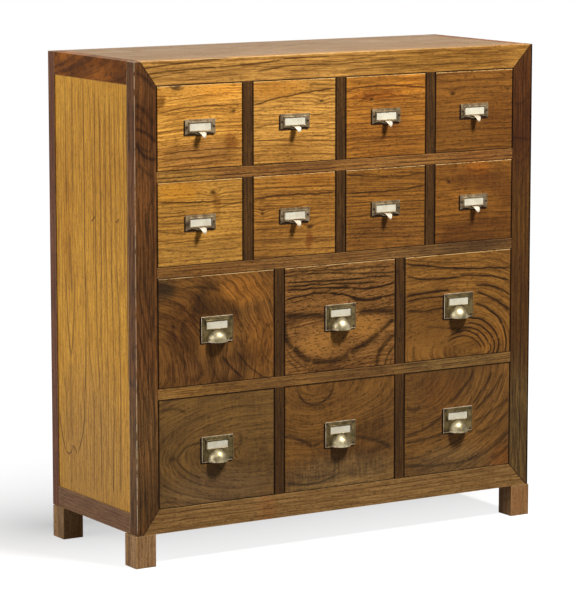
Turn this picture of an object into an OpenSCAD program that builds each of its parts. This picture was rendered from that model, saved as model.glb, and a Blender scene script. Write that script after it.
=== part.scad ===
// Chest of drawers on four short feet: two rows of small drawers over two rows of deep ones.
// Millimetres, +Z up, the drawer fronts face -Y and the floor is Z = 0.
// The origin is on the floor, under the middle of the whole outline, pulls and feet included.

/* [Body] */
// Width over the side frames
body_w = 900; // [820:10:1100]
// Depth from the front face to the back face
body_d = 340; // [300:10:450]
// Height of the body without its feet
body_h = 888; // [840:10:1000]
// Face width of the front frame's four members
frame_w = 46; // [36:1:60]
// Depth of the front frame, front to back
stile_d = 28; // [20:1:40]
// How far in from the left corner the mitres meet the outer edge
mitre_left = 12; // [1:1:20]
// How far in from the right corner the mitres meet the outer edge
mitre_right = 3; // [1:1:20]

/* [Sides, top and back] */
// Thickness of the side frames' rails and back stiles
side_t = 24; // [18:1:30]
// Depth of the back stiles, front to back
back_stile_d = 25; // [20:1:40]
// Height of the side frames' top rails
side_top_h = 44; // [30:1:70]
// Height of the side frames' bottom rails
side_bottom_h = 40; // [30:1:70]
// Thickness of the side panels
panel_t = 10; // [6:1:12]
// How far the side panels lie back from the frame's face
panel_recess = 2; // [1:0.5:4]
// Thickness of the top board
top_t = 18; // [14:1:24]
// Thickness of the top board's tongue
top_tongue_t = 6; // [4:1:8]
// How far a tongue or a panel's edge reaches into its groove
tongue = 6; // [4:1:8]
// Room left at the bottom of a groove
groove_slack = 0.5; // [0.2:0.1:1]
// Thickness of the back board
back_t = 8; // [5:1:12]

/* [Rows and columns] */
// Height of a small drawer's opening
small_h = 159; // [130:1:180]
// Height of the rails between the rows
rail_h = 20; // [16:1:28]
// Width of the upright dividers between the columns
divider_w = 21; // [16:1:28]
// Thickness of the boards that the drawers slide on
shelf_t = 12; // [8:1:15]
// Height of the guide strips beside the drawers
guide_h = 20; // [12:1:30]

/* [Drawers] */
// Gap at each side and over a drawer front
gap = 1.5; // [0.8:0.1:2.5]
// Gap under a drawer front
gap_under = 0.8; // [0.5:0.1:1.5]
// Clearance between a drawer box and the board it slides on
run_clear = 0.3; // [0.2:0.1:0.5]
// Thickness of the drawer fronts
front_t = 18; // [14:1:22]
// Thickness of the drawer sides
wall_t = 10; // [8:1:14]
// Thickness of the drawer backs
rear_t = 10; // [8:1:14]
// Thickness of the drawer bottoms
bottom_t = 5; // [4:0.5:8]
// Height of a drawer bottom over the lower edge of the sides
bottom_up = 7; // [5:1:12]
// How much lower the drawer sides are than the opening
side_drop = 16; // [12:1:30]
// How deep a drawer bottom sits in its grooves
drawer_groove = 5; // [3:1:6]
// Room between a closed drawer and the back board
rear_room = 14; // [5:1:30]

/* [Feet] */
// Width and depth of a foot
foot_w = 43; // [36:1:60]
// Height of the feet
foot_h = 62; // [40:1:100]
// How far the feet stand out from the sides
foot_out = 3; // [1:0.5:5]
// How far the rear feet stand in from the back face
foot_in = 6; // [1:0.5:10]

/* [Label plates] */
// Thickness of the metal plates
plate_t = 1.2; // [0.8:0.1:2]
// Margin of a small plate over and under the bar round its window
small_margin = 4.5; // [4.2:0.1:7]
// Height of the two arches cut in a small plate's lower edge
scallop = 3.2; // [2:0.1:4]
// Margin of a large plate over the bar round its window
large_margin = 6.8; // [6:0.1:10]
// Width of the window over the card
window_w = 45; // [38:1:50]
// Height of the window over the card
window_h = 14; // [11:0.5:15]
// Width of the bar round the window
bar_w = 3; // [2.4:0.1:4]
// How far the bar round the window stands out from the plate
bar_t = 1.4; // [1.2:0.1:2]
// How far the card reaches under the bar
card_lap = 1; // [0.6:0.1:1.4]
// Thickness of the card
card_t = 0.4; // [0.3:0.1:0.6]
// Clearance round the card in its pocket
card_clear = 0.15; // [0.1:0.05:0.3]
// Distance from the card's pocket down to the cup of a large plate
cup_clear = 0.6; // [0.4:0.1:2]

/* [Screws] */
// Diameter of a screw's head
head_d = 4.6; // [3.6:0.2:5.4]
// Height of a screw's head
head_h = 1.3; // [0.8:0.1:1.8]
// Width of the slot in a screw's head
slot_w = 0.8; // [0.5:0.1:1.2]
// Depth of the slot in a screw's head
slot_depth = 0.5; // [0.3:0.1:0.7]
// Distance from a small plate's bar to a screw's head
small_screw_gap = 0.8; // [0.4:0.1:2]
// Distance from a screw's head to a small plate's edge
small_screw_edge = 1.6; // [1:0.1:3]
// Distance from a large plate's bar across to a screw's head
large_screw_gap = 2.1; // [1:0.1:4]
// Distance from a screw's head to a large plate's edges
large_screw_edge = 2.3; // [1:0.1:4]

/* [Finger hook of a small drawer] */
// Width of the hook where it leaves the plate
hook_root_w = 15; // [12:0.5:18]
// Width of the hook's tip
hook_tip_w = 9; // [7:0.5:11]
// Thickness of the hook's metal
hook_t = 1.8; // [1.4:0.1:2.4]
// How far the hook stands out from the plate
hook_out = 15.5; // [13:0.5:20]
// Outer radius of the hook's bend
hook_r = 9; // [7:0.5:10]
// Distance from the hook's top face down to its tip
hook_drop = 10.5; // [10.5:0.5:14]
// Distance from the plate's lower edge up to the hook's top face
hook_up = 5; // [4:0.5:6]

/* [Cup of a large drawer] */
// Radius of the cup's round outline
cup_r = 21.5; // [19:0.5:24]
// How far the cup stands out from the plate
cup_out = 19; // [15:0.5:21]
// Thickness of the cup's metal
cup_t = 1.2; // [0.8:0.1:1.8]
// Height of the cup's lip over the plate's lower edge
cup_lip = 1; // [0.5:0.5:2]
// How far the middle of the cup's outline lies over its lip
cup_mid = 2; // [1:0.5:4]

/* [Hidden] */
small_columns = 4;
large_columns = 3;
ease = 0.01;

pull_reach = plate_t + max(hook_out, cup_out);
y_front = -(body_d - pull_reach) / 2;
y_back = y_front + body_d;
x_out = body_w / 2;
x_in = x_out - frame_w;
x_board = x_out - side_t;
z_base = foot_h;
z_top = foot_h + body_h;
z_low = z_base + frame_w;
z_high = z_top - frame_w;

large_h = (z_high - z_low - 3 * rail_h - 2 * small_h) / 2;
small_w = (2 * x_in - (small_columns - 1) * divider_w) / small_columns;
large_w = (2 * x_in - (large_columns - 1) * divider_w) / large_columns;
drawer_len = body_d - back_t - rear_room;

// Plates: each is as wide and high as what it carries.
bar_half_w = window_w / 2 + bar_w;
bar_half_h = window_h / 2 + bar_w;
pocket_half_w = window_w / 2 + card_lap + card_clear;
pocket_half_h = window_h / 2 + card_lap + card_clear;
small_screw_x = bar_half_w + small_screw_gap + head_d / 2;
small_plate_w = 2 * (small_screw_x + head_d / 2 + small_screw_edge);
small_plate_h = 2 * (bar_half_h + small_margin);
large_screw_x = bar_half_w + large_screw_gap + head_d / 2;
large_plate_w = 2 * (large_screw_x + head_d / 2 + large_screw_edge);
cup_top = cup_lip + cup_mid + cup_r;
large_plate_h = cup_top + cup_clear + pocket_half_h + bar_half_h + large_margin;
large_screw_z = large_plate_h / 2 - large_screw_edge - head_d / 2;
large_window_z = -large_plate_h / 2 + cup_top + cup_clear + pocket_half_h;

// Rows are counted from the top, 0 to 3.
function is_small(row) = row < 2;
function row_h(row) = is_small(row) ? small_h : large_h;
function row_z(row) = row == 3 ? z_low : row_z(row + 1) + row_h(row + 1) + rail_h;
function columns(row) = is_small(row) ? small_columns : large_columns;
function column_w(row) = is_small(row) ? small_w : large_w;
function column_x(row, column) = -x_in + column * (column_w(row) + divider_w);

// A box from its low corner to its high corner.
module block(low, high) {
    translate(low)
        cube(high - low);
}

// A shape drawn in X and Z, made solid from y towards the back.
module upright(y, depth) {
    translate([0, y + depth, 0])
        rotate([90, 0, 0])
            linear_extrude(depth)
                children();
}

module both_sides() {
    children();
    mirror([1, 0, 0])
        children();
}

// Carcass

// The left side panel, or the grooves it needs when slack is more than 0.
module side_panel_space(slack) {
    block(
        [-x_out + panel_recess, y_front + stile_d - tongue - slack, z_base + side_bottom_h - tongue - slack],
        [
            -x_out + panel_recess + panel_t,
            y_back - back_stile_d + tongue + slack,
            z_top - side_top_h + tongue + slack
        ]
    );
}

// The top board's tongue, or its grooves when slack is more than 0.
module top_tongue_space(slack) {
    middle = z_top - top_t / 2;
    block(
        [-x_board - tongue - slack, y_front + stile_d - tongue - slack, middle - top_tongue_t / 2],
        [x_board + tongue + slack, y_back, middle + top_tongue_t / 2]
    );
}

module stile(side, mitre) {
    difference() {
        upright(y_front, stile_d)
            polygon([
                [side * x_out, z_base],
                [side * x_out, z_top],
                [side * (x_out - mitre), z_top],
                [side * x_in, z_high],
                [side * x_in, z_low],
                [side * (x_out - mitre), z_base]
            ]);
        both_sides()
            side_panel_space(groove_slack);
        top_tongue_space(groove_slack);
    }
}

module frame_rail(z_outer, z_inner) {
    difference() {
        upright(y_front, stile_d)
            polygon([
                [-x_out + mitre_left, z_outer],
                [x_out - mitre_right, z_outer],
                [x_in, z_inner],
                [-x_in, z_inner]
            ]);
        top_tongue_space(groove_slack);
    }
}

module row_rail(row) {
    block([-x_in, y_front, row_z(row) - rail_h], [x_in, y_front + stile_d, row_z(row)]);
}

module dividers(rows) {
    for (row = rows, column = [1 : columns(rows[0]) - 1]) {
        x = column_x(row, column) - divider_w;
        block([x, y_front, row_z(row)], [x + divider_w, y_front + stile_d, row_z(row) + row_h(row)]);
    }
}

module side_frame() {
    y_rail = y_front + stile_d;
    y_stile = y_back - back_stile_d;
    difference() {
        union() {
            block([-x_out, y_stile, z_base], [-x_board, y_back, z_top]);
            block([-x_out, y_rail, z_top - side_top_h], [-x_board, y_stile, z_top]);
            block([-x_out, y_rail, z_base], [-x_board, y_stile, z_base + side_bottom_h]);
        }
        side_panel_space(groove_slack);
        top_tongue_space(groove_slack);
    }
}

module shelf(row) {
    block(
        [-x_board, y_front + stile_d, row_z(row) - shelf_t],
        [x_board, y_back - back_t, row_z(row)]
    );
}

module guide(x_low, x_high, row) {
    block(
        [x_low, y_front + stile_d, row_z(row)],
        [x_high, y_back - back_t, row_z(row) + guide_h]
    );
}

module row_guides(row) {
    both_sides()
        guide(-x_board, -x_in, row);
    for (column = [1 : columns(row) - 1]) {
        x = column_x(row, column);
        guide(x - divider_w, x, row);
    }
}

module front_foot() {
    block([-x_out - foot_out, y_front, 0], [-x_out - foot_out + foot_w, y_front + foot_w, foot_h]);
}

module rear_foot() {
    y = y_back - foot_in;
    block([-x_out - foot_out, y - foot_w, 0], [-x_out - foot_out + foot_w, y, foot_h]);
}

// Drawers

// A drawer's bottom board, or its grooves when slack is more than 0.
module bottom_space(row, column, slack) {
    x = column_x(row, column);
    reach = drawer_groove + slack;
    z = row_z(row) + run_clear + bottom_up;
    block(
        [x + gap + wall_t - reach, y_front + front_t - reach, z],
        [x + column_w(row) - gap - wall_t + reach, y_front + drawer_len - rear_t + reach, z + bottom_t]
    );
}

module front_board(row, column) {
    x = column_x(row, column);
    z = row_z(row);
    difference() {
        block(
            [x + gap, y_front, z + gap_under],
            [x + column_w(row) - gap, y_front + front_t, z + row_h(row) - gap]
        );
        bottom_space(row, column, groove_slack);
    }
}

module drawer_box(row, column) {
    x_low = column_x(row, column) + gap;
    x_high = column_x(row, column) + column_w(row) - gap;
    y_low = y_front + front_t;
    y_high = y_front + drawer_len;
    z_floor = row_z(row) + run_clear;
    z_rim = row_z(row) + row_h(row) - side_drop;
    difference() {
        union() {
            block([x_low, y_low, z_floor], [x_low + wall_t, y_high, z_rim]);
            block([x_high - wall_t, y_low, z_floor], [x_high, y_high, z_rim]);
            block([x_low + wall_t, y_high - rear_t, z_floor], [x_high - wall_t, y_high, z_rim]);
        }
        bottom_space(row, column, groove_slack);
    }
    bottom_space(row, column, 0);
}

// Pulls: drawn with the plate's back on Y = 0 and its middle at X = 0, Z = 0.

module on_front(row, column) {
    translate([
        column_x(row, column) + column_w(row) / 2,
        y_front,
        row_z(row) + row_h(row) / 2
    ])
        children();
}

module screw_head(x, z) {
    ball_r = (pow(head_d / 2, 2) + pow(head_h, 2)) / (2 * head_h);
    translate([x, -plate_t, z])
        difference() {
            intersection() {
                translate([0, ball_r - head_h, 0])
                    sphere(r = ball_r, $fn = 48);
                block([-head_d, -head_h, -head_d], [head_d, ease, head_d]);
            }
            block(
                [-head_d, -head_h - ease, -slot_w / 2],
                [head_d, -head_h + slot_depth, slot_w / 2]
            );
        }
}

// The bar round the window, with the pocket for the card behind it.
module window_bar(z) {
    pocket_t = card_t + 2 * card_clear;
    translate([0, -plate_t, z])
        difference() {
            block([-bar_half_w, -bar_t, -bar_half_h], [bar_half_w, ease, bar_half_h]);
            block([-window_w / 2, -bar_t - 1, -window_h / 2], [window_w / 2, 1, window_h / 2]);
            block([-pocket_half_w, -pocket_t, -pocket_half_h], [pocket_half_w, 1, pocket_half_h]);
        }
}

module card(z) {
    half_w = window_w / 2 + card_lap;
    half_h = window_h / 2 + card_lap;
    y = -plate_t - card_clear;
    block([-half_w, y - card_t, z - half_h], [half_w, y, z + half_h]);
}

// The small plate's outline: two shallow arches leave an ear at each end and a tab in the middle.
module small_plate_outline() {
    arch_half = (small_plate_w - hook_root_w) / 4;
    arch_r = (pow(arch_half, 2) + pow(scallop, 2)) / (2 * scallop);
    difference() {
        translate([-small_plate_w / 2, -small_plate_h / 2])
            square([small_plate_w, small_plate_h]);
        for (side = [-1, 1])
            translate([
                side * (small_plate_w / 2 - arch_half),
                -small_plate_h / 2 + scallop - arch_r
            ])
                circle(r = arch_r, $fn = 96);
    }
}

// The hook seen from the side, X being the distance out from the plate.
module hook_profile() {
    bend = hook_out - hook_r;
    translate([0, -hook_t])
        square([bend, hook_t]);
    intersection() {
        translate([bend, -hook_r])
            difference() {
                circle(r = hook_r, $fn = 96);
                circle(r = hook_r - hook_t, $fn = 96);
            }
        translate([bend - ease, -hook_r])
            square([hook_r + 1, hook_r + 1]);
    }
    translate([hook_out - hook_t, -hook_drop])
        square([hook_t, hook_drop - hook_r + ease]);
}

module hook() {
    neck = hook_out - hook_r;
    translate([0, -plate_t, -small_plate_h / 2 + hook_up])
        intersection() {
            translate([-hook_root_w / 2, ease, 0])
                rotate([90, 0, 90])
                    mirror([1, 0, 0])
                        linear_extrude(hook_root_w)
                            hook_profile();
            translate([0, 0, -2 * hook_drop])
                linear_extrude(3 * hook_drop)
                    polygon([
                        [-hook_root_w / 2, 1],
                        [hook_root_w / 2, 1],
                        [hook_tip_w / 2, -neck],
                        [hook_tip_w / 2, -hook_out - 1],
                        [-hook_tip_w / 2, -hook_out - 1],
                        [-hook_tip_w / 2, -neck]
                    ]);
            upright(-hook_out - 1, hook_out + 2)
                union() {
                    translate([-hook_root_w, -hook_drop + hook_tip_w / 2])
                        square([2 * hook_root_w, 2 * hook_drop]);
                    translate([0, -hook_drop + hook_tip_w / 2])
                        circle(d = hook_tip_w, $fn = 64);
                }
        }
}

module small_pull(row, column) {
    on_front(row, column) {
        union() {
            upright(-plate_t, plate_t)
                small_plate_outline();
            window_bar(0);
            hook();
            for (side = [-1, 1])
                screw_head(side * small_screw_x, 0);
        }
        card(0);
    }
}

// A half dome, open below.
module cup() {
    z_lip = -large_plate_h / 2 + cup_lip;
    ball_r = (pow(cup_r, 2) + pow(cup_out, 2)) / (2 * cup_out);
    translate([0, -plate_t, 0])
        intersection() {
            translate([0, ball_r - cup_out, z_lip + cup_mid])
                difference() {
                    sphere(r = ball_r, $fn = 128);
                    sphere(r = ball_r - cup_t, $fn = 128);
                }
            block([-2 * cup_r, -cup_out - 1, z_lip], [2 * cup_r, ease, z_lip + 2 * cup_r]);
        }
}

module large_pull(row, column) {
    on_front(row, column) {
        union() {
            block(
                [-large_plate_w / 2, -plate_t, -large_plate_h / 2],
                [large_plate_w / 2, 0, large_plate_h / 2]
            );
            window_bar(large_window_z);
            cup();
            for (side = [-1, 1], level = [-1, 1])
                screw_head(side * large_screw_x, level * large_screw_z);
        }
        card(large_window_z);
    }
}

module drawer_front(row, column) {
    color(is_small(row) ? "goldenrod" : "sienna")
        front_board(row, column);
}

module plain_box(row, column) {
    color("burlywood")
        drawer_box(row, column);
}

module drawer_pull(row, column) {
    color("silver")
        if (is_small(row))
            small_pull(row, column);
        else
            large_pull(row, column);
}

module front_stile_left() { color("saddlebrown") stile(-1, mitre_left); }
module front_stile_right() { color("saddlebrown") stile(1, mitre_right); }
module front_top_rail() { color("peru") frame_rail(z_top, z_high); }
module front_bottom_rail() { color("peru") frame_rail(z_base, z_low); }
module row_rail_upper() { color("brown") row_rail(0); }
module row_rail_middle() { color("brown") row_rail(1); }
module row_rail_lower() { color("brown") row_rail(2); }
module small_dividers() { color("maroon") dividers([0, 1]); }
module large_dividers() { color("maroon") dividers([2, 3]); }
module side_frame_left() { color("chocolate") side_frame(); }
module side_frame_right() { color("chocolate") mirror([1, 0, 0]) side_frame(); }
module side_panel_left() { color("gold") side_panel_space(0); }
module side_panel_right() { color("gold") mirror([1, 0, 0]) side_panel_space(0); }

module top_board() {
    color("tan") {
        block([-x_board, y_front + stile_d, z_top - top_t], [x_board, y_back, z_top]);
        top_tongue_space(0);
    }
}

module back_board() {
    color("wheat")
        block([-x_board, y_back - back_t, z_base], [x_board, y_back, z_top - top_t]);
}

module drawer_shelves() {
    color("wheat")
        for (row = [0 : 3])
            shelf(row);
}

module drawer_guides() {
    color("khaki")
        for (row = [0 : 3])
            row_guides(row);
}

module feet() {
    color("sienna")
        both_sides() {
            front_foot();
            rear_foot();
        }
}

module small_drawer_1_front() { drawer_front(0, 0); }
module small_drawer_1_box() { plain_box(0, 0); }
module small_drawer_1_pull() { drawer_pull(0, 0); }
module small_drawer_2_front() { drawer_front(0, 1); }
module small_drawer_2_box() { plain_box(0, 1); }
module small_drawer_2_pull() { drawer_pull(0, 1); }
module small_drawer_3_front() { drawer_front(0, 2); }
module small_drawer_3_box() { plain_box(0, 2); }
module small_drawer_3_pull() { drawer_pull(0, 2); }
module small_drawer_4_front() { drawer_front(0, 3); }
module small_drawer_4_box() { plain_box(0, 3); }
module small_drawer_4_pull() { drawer_pull(0, 3); }
module small_drawer_5_front() { drawer_front(1, 0); }
module small_drawer_5_box() { plain_box(1, 0); }
module small_drawer_5_pull() { drawer_pull(1, 0); }
module small_drawer_6_front() { drawer_front(1, 1); }
module small_drawer_6_box() { plain_box(1, 1); }
module small_drawer_6_pull() { drawer_pull(1, 1); }
module small_drawer_7_front() { drawer_front(1, 2); }
module small_drawer_7_box() { plain_box(1, 2); }
module small_drawer_7_pull() { drawer_pull(1, 2); }
module small_drawer_8_front() { drawer_front(1, 3); }
module small_drawer_8_box() { plain_box(1, 3); }
module small_drawer_8_pull() { drawer_pull(1, 3); }
module large_drawer_1_front() { drawer_front(2, 0); }
module large_drawer_1_box() { plain_box(2, 0); }
module large_drawer_1_pull() { drawer_pull(2, 0); }
module large_drawer_2_front() { drawer_front(2, 1); }
module large_drawer_2_box() { plain_box(2, 1); }
module large_drawer_2_pull() { drawer_pull(2, 1); }
module large_drawer_3_front() { drawer_front(2, 2); }
module large_drawer_3_box() { plain_box(2, 2); }
module large_drawer_3_pull() { drawer_pull(2, 2); }
module large_drawer_4_front() { drawer_front(3, 0); }
module large_drawer_4_box() { plain_box(3, 0); }
module large_drawer_4_pull() { drawer_pull(3, 0); }
module large_drawer_5_front() { drawer_front(3, 1); }
module large_drawer_5_box() { plain_box(3, 1); }
module large_drawer_5_pull() { drawer_pull(3, 1); }
module large_drawer_6_front() { drawer_front(3, 2); }
module large_drawer_6_box() { plain_box(3, 2); }
module large_drawer_6_pull() { drawer_pull(3, 2); }

front_stile_left();
front_stile_right();
front_top_rail();
front_bottom_rail();
row_rail_upper();
row_rail_middle();
row_rail_lower();
small_dividers();
large_dividers();
side_frame_left();
side_frame_right();
side_panel_left();
side_panel_right();
top_board();
back_board();
drawer_shelves();
drawer_guides();
feet();
small_drawer_1_front();
small_drawer_1_box();
small_drawer_1_pull();
small_drawer_2_front();
small_drawer_2_box();
small_drawer_2_pull();
small_drawer_3_front();
small_drawer_3_box();
small_drawer_3_pull();
small_drawer_4_front();
small_drawer_4_box();
small_drawer_4_pull();
small_drawer_5_front();
small_drawer_5_box();
small_drawer_5_pull();
small_drawer_6_front();
small_drawer_6_box();
small_drawer_6_pull();
small_drawer_7_front();
small_drawer_7_box();
small_drawer_7_pull();
small_drawer_8_front();
small_drawer_8_box();
small_drawer_8_pull();
large_drawer_1_front();
large_drawer_1_box();
large_drawer_1_pull();
large_drawer_2_front();
large_drawer_2_box();
large_drawer_2_pull();
large_drawer_3_front();
large_drawer_3_box();
large_drawer_3_pull();
large_drawer_4_front();
large_drawer_4_box();
large_drawer_4_pull();
large_drawer_5_front();
large_drawer_5_box();
large_drawer_5_pull();
large_drawer_6_front();
large_drawer_6_box();
large_drawer_6_pull();
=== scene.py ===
import math
import random

import bmesh
import bpy
from mathutils import Matrix, Vector


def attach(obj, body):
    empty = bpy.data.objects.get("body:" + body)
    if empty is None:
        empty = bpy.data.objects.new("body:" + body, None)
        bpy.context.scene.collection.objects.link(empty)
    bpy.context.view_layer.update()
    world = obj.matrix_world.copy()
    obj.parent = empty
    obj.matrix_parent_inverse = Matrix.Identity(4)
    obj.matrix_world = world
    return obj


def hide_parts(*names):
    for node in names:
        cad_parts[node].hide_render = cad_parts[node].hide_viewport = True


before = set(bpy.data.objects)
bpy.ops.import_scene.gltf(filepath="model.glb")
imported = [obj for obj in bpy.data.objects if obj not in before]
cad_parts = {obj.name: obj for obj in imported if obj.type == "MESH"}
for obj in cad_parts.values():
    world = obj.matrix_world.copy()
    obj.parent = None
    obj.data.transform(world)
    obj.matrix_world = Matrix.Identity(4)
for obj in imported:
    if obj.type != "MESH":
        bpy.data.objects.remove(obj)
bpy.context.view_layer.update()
print("frame loaded")

mm = 0.001
sharpAngle = 50
smoothAngle = 40
chance = random.Random(7)

# the chest's own places, in millimetres, as in the construction
chest = {
    "front": -159.9, "back": 180.1, "side": 450, "opening": 404, "inside": 426, "floor": 62, "top": 950,
    "frameWidth": 46, "frameDepth": 28, "mitreLeft": 12, "mitreRight": 3, "railHeight": 20,
    "dividerWidth": 21, "rowFloors": [745, 566, 337, 108], "rowHeights": [159, 159, 209, 209],
    "columns": [4, 4, 3, 3], "topThickness": 18, "backThickness": 8,
}


# small helpers for shaping
def selectOnly(piece):
    bpy.ops.object.select_all(action="DESELECT")
    piece.select_set(True)
    bpy.context.view_layer.objects.active = piece


def editMode(piece):
    selectOnly(piece)
    bpy.ops.object.mode_set(mode="EDIT")
    bpy.ops.mesh.select_mode(type="FACE")


def objectMode():
    bpy.ops.object.mode_set(mode="OBJECT")


def pick(piece, kind, test):
    # selects the faces or the edges that pass the test
    bpy.ops.mesh.select_all(action="DESELECT")
    bpy.ops.mesh.select_mode(type=kind)
    shape = bmesh.from_edit_mesh(piece.data)
    for part in shape.faces if kind == "FACE" else shape.edges:
        part.select = test(part)
    shape.select_flush_mode()
    bmesh.update_edit_mesh(piece.data)


def pickFront(piece):
    pick(piece, "FACE", lambda face: face.normal.y < -0.9)


def pickFrontEdges(piece, face):
    pick(piece, "EDGE", lambda edge: all(point.co.y / mm < face + 0.01 for point in edge.verts))


def extrude(x, y, z):
    bpy.ops.mesh.extrude_region_move(TRANSFORM_OT_translate={"value": (x * mm, y * mm, z * mm)})


def addBlock(name, low, high):
    bpy.ops.object.select_all(action="DESELECT")
    bpy.ops.mesh.primitive_cube_add(size=1, location=[(a + b) / 2 * mm for a, b in zip(low, high)])
    piece = bpy.context.object
    piece.scale = [(b - a) * mm for a, b in zip(low, high)]
    piece.name = name
    bpy.ops.object.transform_apply(location=True, rotation=True, scale=True)
    return piece


def addRod(x, y, z, radius, length, corners):
    # a round bar along Y
    bpy.ops.object.select_all(action="DESELECT")
    bpy.ops.mesh.primitive_cylinder_add(
        vertices=corners, radius=radius * mm, depth=length * mm, location=(x * mm, y * mm, z * mm),
        rotation=(math.radians(90), 0, 0),
    )
    bpy.ops.object.transform_apply(location=True, rotation=True, scale=True)
    return bpy.context.object


def applyModifier(piece, kind, **settings):
    selectOnly(piece)
    modifier = piece.modifiers.new(kind.lower(), kind)
    for key, value in settings.items():
        setattr(modifier, key, value)
    bpy.ops.object.modifier_apply(modifier=modifier.name)


def roundEdges(piece, width):
    sharp = math.radians(sharpAngle)
    applyModifier(piece, "BEVEL", width=width * mm, segments=2, limit_method="ANGLE", angle_limit=sharp)


def cutWith(piece, tool):
    applyModifier(piece, "BOOLEAN", operation="DIFFERENCE", object=tool, solver="EXACT")
    bpy.data.objects.remove(tool)


def joinPieces(name, pieces):
    bpy.ops.object.select_all(action="DESELECT")
    for piece in pieces:
        piece.select_set(True)
    bpy.context.view_layer.objects.active = pieces[0]
    bpy.ops.object.join()
    pieces[0].name = name
    return pieces[0]


def copyTo(source, name, spot):
    copy = source.copy()
    copy.data = source.data.copy()
    copy.name = name
    copy.data.name = name
    bpy.context.scene.collection.objects.link(copy)
    copy.data.transform(Matrix.Translation(spot * mm))
    return copy


def finishPiece(piece, body, slot, *nodes):
    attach(piece, body)
    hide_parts(*nodes)


# a board is a block with eased arrises, a ring that pale wear with a painted highlight, or painted shade,
# fades over, and its own grain coordinates
boardShape = {
    "arris": 0.5, "thinArris": 0.4, "steps": 2, "profile": 0.6, "rimRing": 3, "rimShare": 0.3,
    "shifts": (2, 0.02, 0.01),
}


def makeBoard(name, low, high, axes, material, arris=None, cuts=(), shift=None, shadedEdges=()):
    piece = addBlock(name, low, high)
    editMode(piece)
    for spot, normal in cuts:
        bpy.ops.mesh.select_all(action="SELECT")
        normal = normal.normalized()
        bpy.ops.mesh.bisect(plane_co=Vector(spot) * mm, plane_no=normal, use_fill=True, clear_outer=True)
    bpy.ops.mesh.select_all(action="SELECT")
    arris = arris or boardShape["arris"]
    bpy.ops.mesh.bevel(
        offset=arris * mm, segments=boardShape["steps"], profile=boardShape["profile"], affect="EDGES"
    )
    # every flat side is inset, so that its rim can carry pale wear with a painted highlight, or painted shade
    ring = min(boardShape["rimRing"], boardShape["rimShare"] * min(b - a for a, b in zip(low, high)))
    pick(piece, "FACE", lambda face: face.calc_area() / face.calc_perimeter() > arris * mm)
    bpy.ops.mesh.inset(thickness=ring * mm, use_individual=True)
    objectMode()
    edgeMark = piece.data.attributes.new("rim", "FLOAT", "CORNER")
    inner = {point for face in piece.data.polygons if face.select for point in face.vertices}
    for face in piece.data.polygons:
        # pale wear with a painted highlight on most edges, painted shade on the sides that are named, and a
        # dark joint beside a cut
        middle = face.center / mm
        near = {
            "left": middle.x - low[0], "right": high[0] - middle.x,
            "below": middle.z - low[2], "above": high[2] - middle.z,
        }
        beside = [near[edge] for edge in shadedEdges]
        beside += [abs((middle - Vector(spot)).dot(normal.normalized())) for spot, normal in cuts]
        amount = -1.0 if any(distance < ring for distance in beside) else 1.0
        for corner in face.loop_indices:
            touched = piece.data.loops[corner].vertex_index
            edgeMark.data[corner].value = 0.0 if touched in inner else amount
    # "lumber" runs along the grain, across it and into the board, in metres
    centre = Vector([(a + b) / 2 * mm for a, b in zip(low, high)])
    shift = shift or [chance.uniform(-most, most) for most in boardShape["shifts"]]
    order = ["xyz".index(letter) for letter in axes]
    lumber = piece.data.attributes.new("lumber", "FLOAT_VECTOR", "POINT")
    for point, value in zip(piece.data.vertices, lumber.data):
        local = point.co - centre
        value.vector = [local[axis] + step for axis, step in zip(order, shift)]
    piece.data.materials.append(material)
    return piece


# small helpers for shading
def tone(text):
    values = [int(text[i:i + 2], 16) / 255 for i in (0, 2, 4)]
    return [v / 12.92 if v <= 0.04045 else ((v + 0.055) / 1.055) ** 2.4 for v in values] + [1]


def place(tree, kind, inputs=None, **settings):
    node = tree.nodes.new(kind)
    for key, value in settings.items():
        setattr(node, key, value)
    for key, value in (inputs or {}).items():
        if isinstance(value, bpy.types.NodeSocket):
            tree.links.new(value, node.inputs[key])
        else:
            node.inputs[key].default_value = value
    return node


def maths(tree, operation, *values):
    return place(tree, "ShaderNodeMath", dict(enumerate(values)), operation=operation).outputs[0]


def times(tree, result, *others):
    for other in others:
        result = maths(tree, "MULTIPLY", result, other)
    return result


def vectors(tree, operation, *values):
    return place(tree, "ShaderNodeVectorMath", dict(enumerate(values)), operation=operation).outputs[0]


def scaled(tree, vector, amount):
    return place(tree, "ShaderNodeVectorMath", {0: vector, "Scale": amount}, operation="SCALE").outputs[0]


def measured(tree, operation, *values):
    # the length of a vector, or the dot product of two
    node = place(tree, "ShaderNodeVectorMath", dict(enumerate(values)), operation=operation)
    return node.outputs["Value"]


def joined(tree, x=0, y=0, z=0):
    return place(tree, "ShaderNodeCombineXYZ", {0: x, 1: y, 2: z}).outputs[0]


def split(tree, vector):
    return place(tree, "ShaderNodeSeparateXYZ", {0: vector}).outputs


def smooth(tree, value, low, high, start=0, end=1):
    wanted = {"Value": value, "From Min": low, "From Max": high, "To Min": start, "To Max": end}
    return place(tree, "ShaderNodeMapRange", wanted, interpolation_type="SMOOTHSTEP").outputs[0]


def blendColours(tree, factor, a, b, way="MIX"):
    return place(tree, "ShaderNodeMix", {0: factor, 6: a, 7: b}, data_type="RGBA", blend_type=way).outputs[2]


def noise(tree, vector, scale, detail=2, roughness=0.5):
    wanted = {"Vector": vector, "Scale": scale, "Detail": detail, "Roughness": roughness}
    return place(tree, "ShaderNodeTexNoise", wanted).outputs


def lineNoise(tree, along):
    return place(tree, "ShaderNodeTexNoise", {"W": along, "Scale": 1}, noise_dimensions="1D").outputs[0]


def longNoise(tree, vector, stretch, detail=2, roughness=0.5):
    return noise(tree, vectors(tree, "MULTIPLY", vector, stretch), 1, detail, roughness)[0]


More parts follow.
